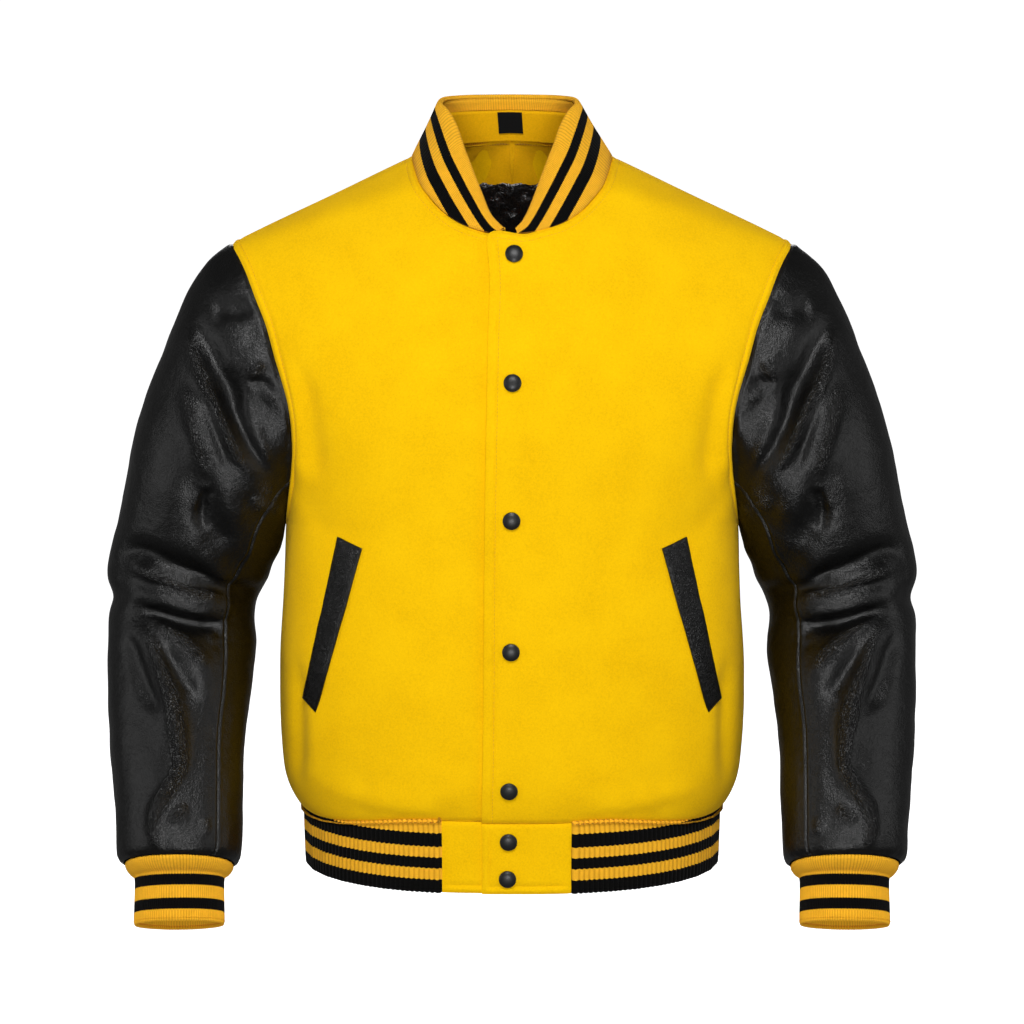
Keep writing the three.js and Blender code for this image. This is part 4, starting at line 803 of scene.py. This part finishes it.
def knit_material(name, stripes):
    """Fine worsted rib: the stripes step from stitch to stitch, and each rib is a row of small loops. The
    inside of the folded band is plain yellow. The colour is mottled at random and darkened in the valleys
    between the ribs, which is painted shade."""
    material, tree, shader, where = new_material(name, {
        "Roughness": 0.95, "Specular IOR Level": 0.06, "Sheen Weight": 0.04, "Sheen Roughness": 0.5})
    across, down, back = [node(tree, "ShaderNodeAttribute", attribute_name=key).outputs["Fac"]
                          for key in ("rib", "from_edge", "inside")]
    phase = math_node(tree, "MULTIPLY", math_node(tree, "PINGPONG", across, 0.5), 2.0)
    step = math_node(tree, "MULTIPLY", phase, 0.7)
    jagged = math_node(tree, "ADD", down, math_node(tree, "SUBTRACT", step, 0.4))
    share = math_node(tree, "DIVIDE", jagged, STRIPES_REACH, clamp=True)
    stops = []
    reached = 0.0
    for colour, width in stripes:
        stops.append((reached / STRIPES_REACH, KNIT_YELLOW if colour == "yellow" else KNIT_BLACK))
        reached += width
    striped = ramp(tree, share, stops, "CONSTANT")
    both_sides = node(tree, "ShaderNodeMix", {"Factor": back, 6: striped, 7: (*KNIT_YELLOW, 1)},
                      data_type="RGBA")
    fuzz = noise_of(tree, where, scale=900.0, detail=3.0, roughness=0.7)
    cloud = noise_of(tree, where, scale=160.0, detail=3.0)
    mottle = math_node(tree, "MULTIPLY", math_node(tree, "ADD", fuzz, cloud), 0.22)
    # Painted shade: the colour darkens to 0.72 in the valleys between the ribs and is full at their crowns.
    crown = node(tree, "ShaderNodeMapRange", {"Value": phase, "From Max": 0.6, "To Min": 0.72})
    mottle_and_painted_valley_shade = math_node(tree, "MULTIPLY", math_node(tree, "ADD", 0.78, mottle), crown.outputs["Result"])
    shaded = node(tree, "ShaderNodeMix", {"Factor": 1.0, 6: both_sides.outputs[2], 7: mottle_and_painted_valley_shade},
                  data_type="RGBA", blend_type="MULTIPLY")
    tree.links.new(shaded.outputs[2], shader.inputs["Base Color"])
    slope = math_node(tree, "MULTIPLY", phase, 2.6)
    row = math_node(tree, "ADD", math_node(tree, "MULTIPLY", down, 4.6), slope)
    loops = bumped(tree, math_node(tree, "SINE", row), strength=0.35, distance=0.0003)
    tree.links.new(bumped(tree, fuzz, strength=0.5, distance=0.0003, normal=loops), shader.inputs["Normal"])
    return material


def new_tree(name, inputs):
    """A Geometry Nodes tree with its named inputs, and what they give inside it."""
    tree = bpy.data.node_groups.new(name, "GeometryNodeTree")
    tree.interface.new_socket("Geometry", in_out="INPUT", socket_type="NodeSocketGeometry")
    for key, kind in inputs.items():
        tree.interface.new_socket(key, in_out="INPUT", socket_type=f"NodeSocket{kind}")
    tree.interface.new_socket("Geometry", in_out="OUTPUT", socket_type="NodeSocketGeometry")
    return tree, node(tree, "NodeGroupInput").outputs


def finish_tree(tree, geometry, finish):
    whole = node(tree, "GeometryNodeRealizeInstances", {"Geometry": geometry}).outputs[0]
    dressed = node(tree, "GeometryNodeSetMaterial", {"Geometry": whole, "Material": finish}).outputs[0]
    node(tree, "NodeGroupOutput", {"Geometry": dressed})
    return tree


def stored(tree, name, kind="FLOAT"):
    return node(tree, "GeometryNodeInputNamedAttribute", {"Name": name}, data_type=kind).outputs[0]


def rib_tree():
    """Raises a band's surface along its normals in rounded ribs, by the rib number stored on it."""
    tree, given = new_tree("raise_ribs", {"Rib Height": "Float", "Roundness": "Float", "Finish": "Material"})
    angle = math_node(tree, "MULTIPLY", stored(tree, "rib"), math.pi)
    wave = math_node(tree, "ABSOLUTE", math_node(tree, "SINE", angle))
    crown = math_node(tree, "POWER", wave, given["Roundness"])
    height = math_node(tree, "MULTIPLY", math_node(tree, "MULTIPLY", crown, given["Rib Height"]),
                       stored(tree, "raised"))
    normal = node(tree, "GeometryNodeInputNormal").outputs[0]
    offset = node(tree, "ShaderNodeVectorMath", {0: normal, "Scale": height}, operation="SCALE").outputs[0]
    raised = node(tree, "GeometryNodeSetPosition", {"Geometry": given["Geometry"], "Offset": offset})
    return finish_tree(tree, raised.outputs[0], given["Finish"])


def grown(piece, tree, settings):
    """Runs a Geometry Nodes tree on a piece and keeps its result as the piece's plain mesh."""
    modifier = piece.modifiers.new("grow", "NODES")
    modifier.node_group = tree
    for item in tree.interface.items_tree:
        if item.item_type == "SOCKET" and item.in_out == "INPUT" and item.name in settings:
            modifier[item.identifier] = settings[item.name]
    bpy.context.view_layer.update()
    evaluated = piece.evaluated_get(bpy.context.evaluated_depsgraph_get())
    mesh = bpy.data.meshes.new_from_object(evaluated)
    name = piece.name
    bpy.data.objects.remove(piece)
    mesh.name = name
    made = bpy.data.objects.new(name, mesh)
    scene.collection.objects.link(made)
    return made


raise_ribs = rib_tree()
ROLL_STEPS = 7
RIB_ROUNDNESS = 0.6
INNER_RIBS = 0.35
ROLL_ALLOWANCE = 1.02
COLLAR_KNIT_THICK = 4.0


def ribbed_band(name, grid, turn, thick, height, material, pitch=None, ribs=None, ring=False, cell=4.5,
                inner_rows=6, columns_per_rib=6, wider=None):
    """A double knitted band: its outer side, the fold at the free edge, and its inner side. The first row of
    the grid is the seam and the last row the free edge. It has a number of ribs, or as many as their pitch
    gives. The free edge may be wider at some columns. Returns the piece and what it is cut to."""
    closed = np.concatenate([grid, grid[:, :1]], axis=1) if ring else grid
    girths = np.linalg.norm(np.diff(closed, axis=1), axis=2).sum(axis=1)
    count = (ribs or round(girths.mean() / pitch)) * columns_per_rib
    if ring:
        padded = np.concatenate([grid[:, -4:], grid, grid[:, :5]], axis=1)
        columns = np.linspace(4, 4 + grid.shape[1], count, endpoint=False)
        numbers = np.arange(count) / columns_per_rib
    else:
        padded = grid
        columns = np.linspace(0, grid.shape[1] - 1, count + 1)
        numbers = np.arange(count + 1) / columns_per_rib
    length = np.linalg.norm(np.diff(grid, axis=0), axis=2).sum(axis=0).mean()
    steps = max(3, round(length / cell))
    rows = np.linspace(0, grid.shape[0] - 1, steps + 1)
    fine = fine_grid(padded, rows, columns)
    normals = grid_normals(fine, turn, ring)
    upward = fine[-1] - fine[-2]
    upward /= np.linalg.norm(upward, axis=1, keepdims=True)
    radius = thick / 2
    shortened = fine.copy()
    along = np.linspace(0, 1, steps + 1) ** 2
    spare = wider(np.linspace(0, 1, len(columns))) if wider else np.zeros(len(columns))
    shortened -= along[:, None, None] * (upward * (radius - spare)[:, None])
    rim_normal = normals[-1]
    centre = shortened[-1] - rim_normal * radius
    roll = []
    for k in range(1, ROLL_STEPS):
        angle = math.pi * k / ROLL_STEPS
        roll.append(centre + (math.cos(angle) * rim_normal + math.sin(angle) * upward) * radius)
    inner_places = np.linspace(steps, 0, inner_rows + 1)
    inner = spline(shortened, inner_places) - spline(normals, inner_places) * thick
    points = np.concatenate([shortened, roll, inner])
    total, width = points.shape[:2]
    faces = grid_faces(total, width, turn, ring=ring)
    last = (total - 1) * width
    for j in range(width if ring else width - 1):
        k = (j + 1) % width
        quad = (last + j, last + k, k, j)
        faces.append(quad if turn > 0 else quad[::-1])
    if not ring:
        for j, order in ((0, 1), (width - 1, -1)):
            loop = [i * width + j for i in range(total)]
            while len(loop) > 3:
                quad = (loop[0], loop[1], loop[-2], loop[-1])
                faces.append(quad[::-order * int(turn)])
                loop = loop[1:-1]
            if len(loop) == 3:
                faces.append(tuple(loop)[::-order * int(turn)])
    piece = add_mesh(name, points.reshape(-1, 3), faces)
    paths = np.cumsum(np.linalg.norm(np.diff(points, axis=0), axis=2), axis=0)
    travelled = np.concatenate([np.zeros((1, width)), paths])
    rim = travelled[steps] + math.pi * radius / 2
    from_edge = np.maximum(np.abs(travelled - rim) - spare, 0)
    inside = (travelled > rim + 1.0).astype(float)
    raised = np.where(travelled > rim + 4.0, INNER_RIBS, 1.0)
    for key, values in (("from_edge", from_edge), ("inside", inside), ("raised", raised),
                        ("rib", np.tile(numbers, total))):
        attribute = piece.data.attributes.new(key, "FLOAT", "POINT")
        attribute.data.foreach_set("value", values.ravel().astype(np.float32))
    finished = grown(piece, raise_ribs, {"Rib Height": height * MM, "Roundness": RIB_ROUNDNESS,
                                         "Finish": material})
    area = (girths.mean() * length) * MM * MM
    return finished, ((girths.max() * MM, length * ROLL_ALLOWANCE * MM), area)


def leaned_in(grid):
    """The sides of the neck lean in towards the top, so that its corners are round."""
    x = grid[..., 0]
    rise = np.clip((grid[..., 2] - 3) / 48, 0, 1)
    leaned = grid.copy()
    leaned[..., 0] -= np.sign(x) * 6.5 * smooth((np.abs(x) - 25) / 35) * rise ** 1.6
    return leaned


def collar_flare(share):
    """How much wider the collar's edge is towards its front ends, in mm, from one end to the other."""
    away = np.abs(2 * share - 1)
    narrowing = 1 - 0.5 * smooth((away - 0.55) / 0.4)
    return 8.0 * smooth((away - 0.38) / 0.14) * narrowing * smooth((1 - away) / 0.07)


collar_knit = knit_material("striped_collar_knit", COLLAR_STRIPES)
collar_grid, _, collar_turn = wall_grids("collar_rib", (0, 1, -0.3), (1, 0, 0), 4, 26, "middle")
collar, collar_cut = ribbed_band("collar", leaned_in(collar_grid), collar_turn, COLLAR_KNIT_THICK,
                                 COLLAR_RIB_HEIGHT, collar_knit, pitch=COLLAR_PITCH, wider=collar_flare)
settle(collar, "collar_rib")


# Waistband: the same rib knit, heavier, from one wool tab round the back to the other, with the stripes
# running round it. The bottom edge is folded over.
HEM_STRIPES = [("black", 13.5), ("yellow", 10.3), ("black", 9.8), ("yellow", 10.0), ("black", 12.4),
               ("yellow", 99.0)]
HEM_RIBS = 192
HEM_RIB_HEIGHT = 1.0
HEM_KNIT_THICK = 4.4

hem_knit = knit_material("striped_hem_knit", HEM_STRIPES)
hem_grid, _, hem_turn = wall_grids("hem_rib", (1, -2, 1), (1, 0, 0), 2, 384, "one-sided")
hem_base = hem_grid[:, ::2].copy()
hem_base[:, 0, 0] = hem_base[0, 0, 0]
hem, hem_cut = ribbed_band("waistband", hem_base, hem_turn, HEM_KNIT_THICK, HEM_RIB_HEIGHT, hem_knit,
                           ribs=HEM_RIBS, cell=5.2, inner_rows=4, columns_per_rib=8)
settle(hem, "hem_rib")


# Cuffs: rib knit rings in the same stripes, gathered into the leather at the top and folded over at the
# hand.
CUFF_STRIPES = [("yellow", 13.0), ("black", 10.0), ("yellow", 11.0), ("black", 10.0), ("yellow", 99.0)]
CUFF_PITCH = 2.1
CUFF_RIB_HEIGHT = 0.5
CUFF_KNIT_THICK = 3.2

cuff_knit = knit_material("striped_cuff_knit", CUFF_STRIPES)
for side, sign in (("left", 1), ("right", -1)):
    cuff_grid, _, cuff_turn = wall_grids(f"cuff_{side}", (0, -1, 1), (sign, 0, 0), 5, 28, "ring")
    cuff, cuff_cut = ribbed_band(f"knit_cuff_{side}", cuff_grid, cuff_turn, CUFF_KNIT_THICK, CUFF_RIB_HEIGHT,
                                 cuff_knit, pitch=CUFF_PITCH, ring=True, cell=4.0)
    settle(cuff, f"cuff_{side}")


# Hem tabs: two squares of the same wool that close the waistband at the front. The left one is stitched
# round, and the last snap goes through both of them.
TAB_SINK = 1.0


def hem_tab(side, sign):
    outer, _, turn = wall_grids(f"hem_tab_{side}", (-sign, 0, 1), (sign, 0, 0), 2, 4)
    outer = let_out(outer, ("last column",), 0.7)
    grid = fine_grid(outer, places(outer, 0, 4.0, EDGE_STEPS[:8]), places(outer, 1, 4.0, EDGE_STEPS[:8]))
    normals = grid_normals(grid, turn)
    relief = seam_relief(grid, grid[0], TAB_SINK)
    for edge in (grid[-1], grid[:, 0]):
        relief = relief + seam_relief(grid, edge, TAB_SINK, EDGE_STITCH)
    uneven = rumple(grid, size=20.0, height=0.3, seed=21)
    top = grid + normals * (np.maximum(relief, -1.4) + uneven)[:, :, None]
    piece = shell(f"wool_hem_tab_{side}", top, grid - normals * WOOL_THICK, turn)
    piece.data.materials.append(wool)
    settle(piece, f"hem_tab_{side}")


hem_tab("left", 1)
hem_tab("right", -1)


# Pocket welts: narrow tongues of black leather, folded double and pointed at the lower end, over a slanted
# pocket in each front.
WELT_STEPS = [0, 0.5, 1.2, 2.2, 3.6]
WELT_THICK = 1.8


def pocket_welt(side, sign):
    outer, _, turn = wall_grids(f"pocket_welt_{side}", (-sign, 0, 1), (sign, 0, 0), 11, 2)
    grid = fine_grid(outer, places(outer, 0, 3.0, WELT_STEPS), places(outer, 1, 2.2, WELT_STEPS))
    normals = grid_normals(grid, turn)
    rim = np.concatenate([grid[0], grid[:, -1], grid[-1][::-1], grid[::-1, 0]])
    distance = edge_distance(grid, rim)
    plump = 1.1 * smooth(distance / 3.0) - 0.25 * hump(distance - 3.4, 0.7)
    uneven = rumple(grid, size=15.0, height=0.3, seed=31)
    top = grid + normals * (plump - 0.4 + uneven)[:, :, None]
    piece = shell(f"leather_pocket_welt_{side}", top, grid - normals * WELT_THICK, turn)
    piece.data.materials.append(leather)
    # The middle of the welt, away from its rim, gets a little more gloss and a faint painted highlight, a
    # lighter base colour.
    mark_crests(piece, 0.35 * smooth(distance / 4))
    settle(piece, f"pocket_welt_{side}")


pocket_welt("left", 1)
pocket_welt("right", -1)


# Neck facing, collar band, label and lining: what shows inside the open neck. The facing and the band are the
# body's yellow wool in a darker, more orange copy, which is painted shade for the inside of the neck, the
# lining is black satin quilted in diamonds, and the label is a bare woven patch.
# The body's wool, darker and more orange: painted shade for the inside of the neck.
facing_wool = wool_material("facing_wool", (0.72, 0.36, 0.002), (0.82, 0.42, 0.003), (0.90, 0.47, 0.004))


FACING_THICK = 1.2
INNER_STEPS = [0, 1.2, 3.0]


def inner_surface(outer, turn, gathers):
    """The fine surface of a layer inside the neck. It is gathered away from its last row and column."""
    grid = fine_grid(outer, places(outer, 0, 4.0, INNER_STEPS), places(outer, 1, 4.0, INNER_STEPS))
    normals = grid_normals(grid, turn)
    lift = gathers * (rumple(grid * (1, 1, 0.35), size=13.0, height=1.0, seed=41) + 0.5)
    edge = edge_distance(grid, grid[-1], grid[:, -1])
    top = grid + normals * (lift * smooth(edge / 9))[:, :, None]
    return grid, top, top - normals * FACING_THICK


def neck_facing():
    outer, _, turn = wall_grids("back_neck_facing", (1, 0, -1), (-1, 0, 0), 7, 2)
    outer[-1, :, 2] = outer[-1, -1, 2] - 4.0
    neck_rows = np.arange(len(outer)) <= np.argmax(outer[:, -1, 0] < 1)
    inward = -outer[neck_rows, -1] * (1, 1, 0)
    inward /= np.linalg.norm(inward, axis=1, keepdims=True)
    outer[neck_rows, -1] += 2.0 * inward + (0, 0, 4.0)
    outer[neck_rows, -1, 0] = np.maximum(outer[neck_rows, -1, 0], 0)
    grid, top, low = inner_surface(outer, turn, gathers=2.4)
    piece = both_halves("neck_facing", top, low, turn)
    piece.data.materials.append(facing_wool)
    settle(piece, "back_neck_facing")


def collar_band():
    outer, _, turn = wall_grids("collar_band", (0, 1, -0.3), (1, 0, 0), 3, 12, "middle")
    outer = leaned_in(let_out(outer, ("first row",), 2.5))
    grid, top, low = inner_surface(outer, turn, gathers=0.0)
    piece = shell("wool_collar_band", top, low, turn)
    piece.data.materials.append(facing_wool)
    settle(piece, "collar_band")


neck_facing()
collar_band()


def satin_material():
    material, tree, shader, where = new_material("black_satin", {
        "Roughness": 0.24, "Specular IOR Level": 0.7})
    thread = node(tree, "ShaderNodeTexWave", {"Vector": where, "Scale": 420.0, "Distortion": 0.6},
                  bands_direction="Z")
    cloud = noise_of(tree, where, scale=70.0, detail=3.0)
    colour = ramp(tree, cloud, [(0.3, (0.003, 0.003, 0.0035)), (0.7, (0.006, 0.006, 0.0065))])
    tree.links.new(colour, shader.inputs["Base Color"])
    puckers = noise_of(tree, where, scale=110.0, detail=3.0, roughness=0.6)
    puckered = bumped(tree, puckers, strength=0.8, distance=0.003)
    woven = bumped(tree, thread.outputs["Fac"], strength=0.25, distance=0.0002, normal=puckered)
    tree.links.new(woven, shader.inputs["Normal"])
    return material


DIAMOND = 26.0


def quilted_lining():
    outer, _, turn = wall_grids("lining_back", (1, 0, -1), (-1, 0, 0), 7, 12)
    near_middle = np.abs(outer[-1, :, 0]) < 50
    outer[-1, near_middle, 2] = np.maximum(outer[-1, near_middle, 2], outer[-1, :, 2].max() - 2.0)
    grid = fine_grid(outer, places(outer, 0, 4.0, [0, 1.5]), places(outer, 1, 4.0, [0, 1.5]))
    normals = grid_normals(grid, turn)
    x = grid[:, :, 0]
    z = grid[:, :, 2]
    rows = [np.abs(((x + s * z) / DIAMOND + 0.5) % 1 - 0.5) * DIAMOND / math.sqrt(2) for s in (1, -1)]
    puff = 2.4 * smooth(np.minimum(*rows) / 8.0)
    edge = edge_distance(grid, grid[0], grid[-1], grid[:, 0], grid[:, -1])
    inward = grid - normals * 1.0 - normals * (puff * smooth(edge / 6))[:, :, None]
    piece = shell("quilted_lining", grid, inward, turn)
    piece.data.materials.append(satin_material())
    settle(piece, "lining_back")


quilted_lining()


def label_material():
    material, tree, shader, where = new_material("woven_label", {
        "Roughness": 0.85, "Specular IOR Level": 0.1})
    weave = node(tree, "ShaderNodeTexWave", {"Vector": where, "Scale": 700.0, "Distortion": 0.4},
                 bands_direction="X").outputs["Fac"]
    colour = ramp(tree, weave, [(0.2, (0.004, 0.004, 0.004)), (0.8, (0.008, 0.008, 0.008))])
    tree.links.new(colour, shader.inputs["Base Color"])
    tree.links.new(bumped(tree, weave, strength=0.3, distance=0.0002), shader.inputs["Normal"])
    return material


def neck_label():
    outer, _, turn = wall_grids("neck_label", (1, 0, -1), (-1, 0, 0), 1, 2)
    outer = leaned_in(outer)
    grid = fine_grid(outer, places(outer, 0, 2.0, [0, 0.6]), places(outer, 1, 2.0, [0, 0.6]))
    piece = shell("woven_label", grid, grid - grid_normals(grid, turn) * 0.8, turn)
    piece.data.materials.append(label_material())
    settle(piece, "neck_label")


neck_label()


# Snaps: seven black enamelled caps down the placket and the tab, each a shallow dome in a turned rim. They
# are riveted through the front edge and stay fastened.
CAP_PROFILE = [(0.0, 3.1), (2.0, 3.02), (3.9, 2.78), (5.4, 2.38), (6.4, 1.92), (6.9, 1.6), (7.2, 1.5),
               (7.5, 1.35), (7.72, 1.0), (7.75, 0.5), (7.5, 0.0), (7.2, -0.8)]
CAP_SIDES = 40


def cap_object():
    points = [(0.0, 0.0, CAP_PROFILE[0][1])]
    faces = []
    for radius, height in CAP_PROFILE[1:]:
        for k in range(CAP_SIDES):
            angle = 2 * math.pi * k / CAP_SIDES
            points.append((radius * math.cos(angle), radius * math.sin(angle), height))
    for k in range(CAP_SIDES):
        faces.append((0, 1 + k, 1 + (k + 1) % CAP_SIDES))
    for i in range(len(CAP_PROFILE) - 2):
        for k in range(CAP_SIDES):
            n = (k + 1) % CAP_SIDES
            first = 1 + i * CAP_SIDES
            second = first + CAP_SIDES
            faces.append((first + k, second + k, second + n, first + n))
    last = 1 + (len(CAP_PROFILE) - 2) * CAP_SIDES
    faces.append(tuple(last + k for k in range(CAP_SIDES - 1, -1, -1)))
    return add_mesh("cap_pattern", points, faces)


def enamel_material():
    material, tree, shader, where = new_material("black_enamel", {
        "Roughness": 0.42, "Specular IOR Level": 0.32, "Coat Weight": 0.1, "Coat Roughness": 0.2})
    grain = noise_of(tree, where, scale=900.0, detail=3.0)
    colour = ramp(tree, grain, [(0.3, (0.006, 0.006, 0.006)), (0.7, (0.010, 0.010, 0.010))])
    tree.links.new(colour, shader.inputs["Base Color"])
    orange_peel = noise_of(tree, where, scale=500.0, detail=2.0)
    tree.links.new(bumped(tree, orange_peel, strength=0.15, distance=0.0002), shader.inputs["Normal"])
    return material


def caps_tree():
    """Sets a copy of one cap on every point, turned by the stored direction."""
    tree, given = new_tree("set_caps", {"Cap": "Object", "Finish": "Material"})
    axis = stored(tree, "axis", "FLOAT_VECTOR")
    turned = node(tree, "FunctionNodeAlignRotationToVector", {"Vector": axis}, axis="Z").outputs[0]
    cap = node(tree, "GeometryNodeObjectInfo", {"Object": given["Cap"]}).outputs["Geometry"]
    placed = node(tree, "GeometryNodeInstanceOnPoints", {
        "Points": given["Geometry"], "Instance": cap, "Rotation": turned})
    return finish_tree(tree, placed.outputs[0], given["Finish"])


def snap_caps():
    """The caps stand where the solid ones do, each turned to the placket's own slope."""
    solids = [f"snap_{k}" for k in range(1, 8)]
    centres = []
    axes = []
    for solid in solids:
        points = np.array([v.co[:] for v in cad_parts[solid].data.vertices]) / MM
        middle = (points.min(axis=0) + points.max(axis=0)) / 2
        axis = np.linalg.svd(points - points.mean(axis=0), full_matrices=False)[2][2]
        axis *= -np.sign(axis[1])
        reach = (points - middle) @ axis
        centres.append(middle + axis * (reach.max() - CAP_PROFILE[0][1]))
        axes.append(axis)
    carrier = add_mesh("snap_caps", centres, [])
    directions = carrier.data.attributes.new("axis", "FLOAT_VECTOR", "POINT")
    directions.data.foreach_set("vector", np.array(axes, np.float32).ravel())
    pattern = cap_object()
    caps = grown(carrier, caps_tree(), {"Cap": pattern, "Finish": enamel_material()})
    bpy.data.objects.remove(pattern)
    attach(caps, "root")
    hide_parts(*solids)


snap_caps()


# Topstitching: rows of yellow thread that lie in their grooves beside the neck seam, the armholes and the
# front edge. Each stitch is a short thread of its own.
STITCH_PITCH = 3.4
STITCH_SHARE = 0.78
THREAD_RADIUS = 0.27


def stitch_tree():
    """Lays short threads end to end along a curve."""
    tree, given = new_tree("lay_stitches", {
        "Pitch": "Float", "Stitch Length": "Float", "Thread Radius": "Float", "Finish": "Material"})
    line = node(tree, "GeometryNodeMeshToCurve", {"Mesh": given["Geometry"]}).outputs[0]
    spaced = node(tree, "GeometryNodeResampleCurve", {"Curve": line, "Length": given["Pitch"]}, mode="LENGTH")
    tangent = node(tree, "GeometryNodeInputTangent").outputs[0]
    turned = node(tree, "FunctionNodeAlignRotationToVector", {"Vector": tangent}, axis="Z").outputs[0]
    ball = node(tree, "GeometryNodeMeshIcoSphere", {"Radius": 1.0, "Subdivisions": 1}).outputs[0]
    half = math_node(tree, "MULTIPLY", given["Stitch Length"], 0.5)
    radius = given["Thread Radius"]
    size = node(tree, "ShaderNodeCombineXYZ", {"X": radius, "Y": radius, "Z": half}).outputs[0]
    placed = node(tree, "GeometryNodeInstanceOnPoints", {
        "Points": spaced.outputs[0], "Instance": ball, "Rotation": turned, "Scale": size})
    return finish_tree(tree, placed.outputs[0], given["Finish"])


def thread_material():
    material, tree, shader, where = new_material("yellow_thread", {"Roughness": 0.7})
    fibre = noise_of(tree, where, scale=1800.0, detail=2.0)
    colour = ramp(tree, fibre, [(0.3, (0.62, 0.32, 0.002)), (0.7, (0.80, 0.44, 0.004))])
    tree.links.new(colour, shader.inputs["Base Color"])
    return material


def line_beside(panel, edge, distance):
    """Points on a panel's top surface that lie at a distance from one of its edges."""
    top = panel["top"]
    away = edge_distance(top, edge) - distance
    crossings = []
    rows, columns = away.shape
    for i in range(rows):
        for j in range(columns):
            for di, dj in ((0, 1), (1, 0)):
                if i + di < rows and j + dj < columns and away[i, j] * away[i + di, j + dj] < 0:
                    t = away[i, j] / (away[i, j] - away[i + di, j + dj])
                    crossings.append(top[i, j] + t * (top[i + di, j + dj] - top[i, j])
                                     + panel["normals"][i, j] * 0.12)
    crossings = np.array(crossings)
    along = line_distance(crossings, edge)[1]
    lengths = np.linalg.norm(np.diff(edge, axis=0), axis=1).sum()
    order = np.argsort(along)
    along = along[order]
    crossings = crossings[order]
    inside = (along > 0.002) & (along < 0.998)
    kept = []
    for place, point in zip(along[inside], crossings[inside]):
        if not kept or (place - kept[-1][0]) * lengths > 2.0:
            kept.append((place, point))
    return np.array([point for _, point in kept])


def topstitching(lines):
    points = np.concatenate(lines)
    edges = []
    start = 0
    for line in lines:
        edges += [(start + k, start + k + 1) for k in range(len(line) - 1)]
        start += len(line)
    mesh = bpy.data.meshes.new("wool_topstitching")
    mesh.from_pydata((points * MM).tolist(), edges, [])
    carrier = bpy.data.objects.new("wool_topstitching", mesh)
    scene.collection.objects.link(carrier)
    piece = grown(carrier, stitch_tree(), {
        "Pitch": STITCH_PITCH * MM, "Stitch Length": STITCH_SHARE * STITCH_PITCH * MM,
        "Thread Radius": THREAD_RADIUS * MM, "Finish": thread_material()})
    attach(piece, "root")


wool_lines = [line_beside(fronts["left"], fronts["left"]["placket"], PLACKET_STITCH)]
for panel, key in itertools.product((fronts["left"], fronts["right"]), ("neckline", "armhole")):
    wool_lines.append(line_beside(panel, panel[key], EDGE_STITCH))
for key in ("neckline", "armhole"):
    line = line_beside(back, back[key], EDGE_STITCH)
    wool_lines += [line, line * (-1, 1, 1)]
topstitching(wool_lines)


# Studio: a plain pale floor far below, as the jacket hangs in the air, inside a pale dome. Two soft lights
# face the front, one from above, with weaker ones at the sides and one behind.
FLOOR_LEVEL = -1420.0
STUDIO_RADIUS = 30000.0
DOME_SIDES = 48
DOME_RINGS = 12

pale = new_material("pale_studio", {
    "Base Color": (0.9, 0.9, 0.9, 1), "Roughness": 1.0, "Specular IOR Level": 0.0,
    "Emission Color": (1, 1, 1, 1), "Emission Strength": 0.97})[0]
corners = ((-1, -1), (1, -1), (1, 1), (-1, 1))
floor = add_mesh("floor", [(x * STUDIO_RADIUS, y * STUDIO_RADIUS, FLOOR_LEVEL) for x, y in corners],
                 [(0, 1, 2, 3)])
dome_points = []
for i in range(DOME_RINGS + 1):
    rise = math.pi / 2 * i / DOME_RINGS
    flat = math.cos(rise) * STUDIO_RADIUS
    for k in range(DOME_SIDES):
        around = 2 * math.pi * k / DOME_SIDES
        dome_points.append((flat * math.cos(around), flat * math.sin(around),
                            FLOOR_LEVEL + math.sin(rise) * STUDIO_RADIUS))
dome = add_mesh("dome", dome_points, grid_faces(DOME_RINGS + 1, DOME_SIDES, -1, ring=True))
for backdrop in (floor, dome):
    backdrop.data.materials.append(pale)
    backdrop.visible_diffuse = False
    backdrop.visible_glossy = False
    backdrop.visible_transmission = False
    backdrop.visible_shadow = False

world = bpy.data.worlds.new("studio")
world.use_nodes = True
sky = world.node_tree.nodes["Background"]
sky.inputs["Color"].default_value = (1, 1, 1, 1)
sky.inputs["Strength"].default_value = 0.13
scene.world = world
scene.view_settings.view_transform = "Standard"


def soft_light(name, azimuth, elevation, distance, size, power):
    light = bpy.data.lights.new(name, "AREA")
    light.shape = "DISK"
    light.size = size
    light.energy = power
    lamp = bpy.data.objects.new(name, light)
    aim = Vector((0, 0, -0.32))
    turn = math.radians(azimuth)
    rise = math.radians(elevation)
    towards = Vector((math.sin(turn) * math.cos(rise), -math.cos(turn) * math.cos(rise), math.sin(rise)))
    lamp.location = aim + distance * towards
    lamp.rotation_euler = (aim - lamp.location).to_track_quat("-Z", "Y").to_euler()
    scene.collection.objects.link(lamp)


soft_light("key", 0, 40, 3.4, 1.2, 66)
soft_light("front", 0, -6, 3.7, 1.0, 51)
soft_light("left", -68, 8, 3.0, 2.2, 18)
soft_light("right", 68, 8, 3.0, 2.2, 18)
soft_light("back", 180, 22, 3.6, 2.2, 42)

camera = bpy.data.objects.new("camera", bpy.data.cameras.new("camera"))
camera.data.sensor_width = 36
camera.data.lens = 136.7
camera.data.clip_end = 200
camera.location = (0.0, -3.4357, 0.3489)
camera.rotation_euler = (Vector((0, 0, -0.3189)) - camera.location).to_track_quat("-Z", "Y").to_euler()
scene.collection.objects.link(camera)
scene.camera = camera
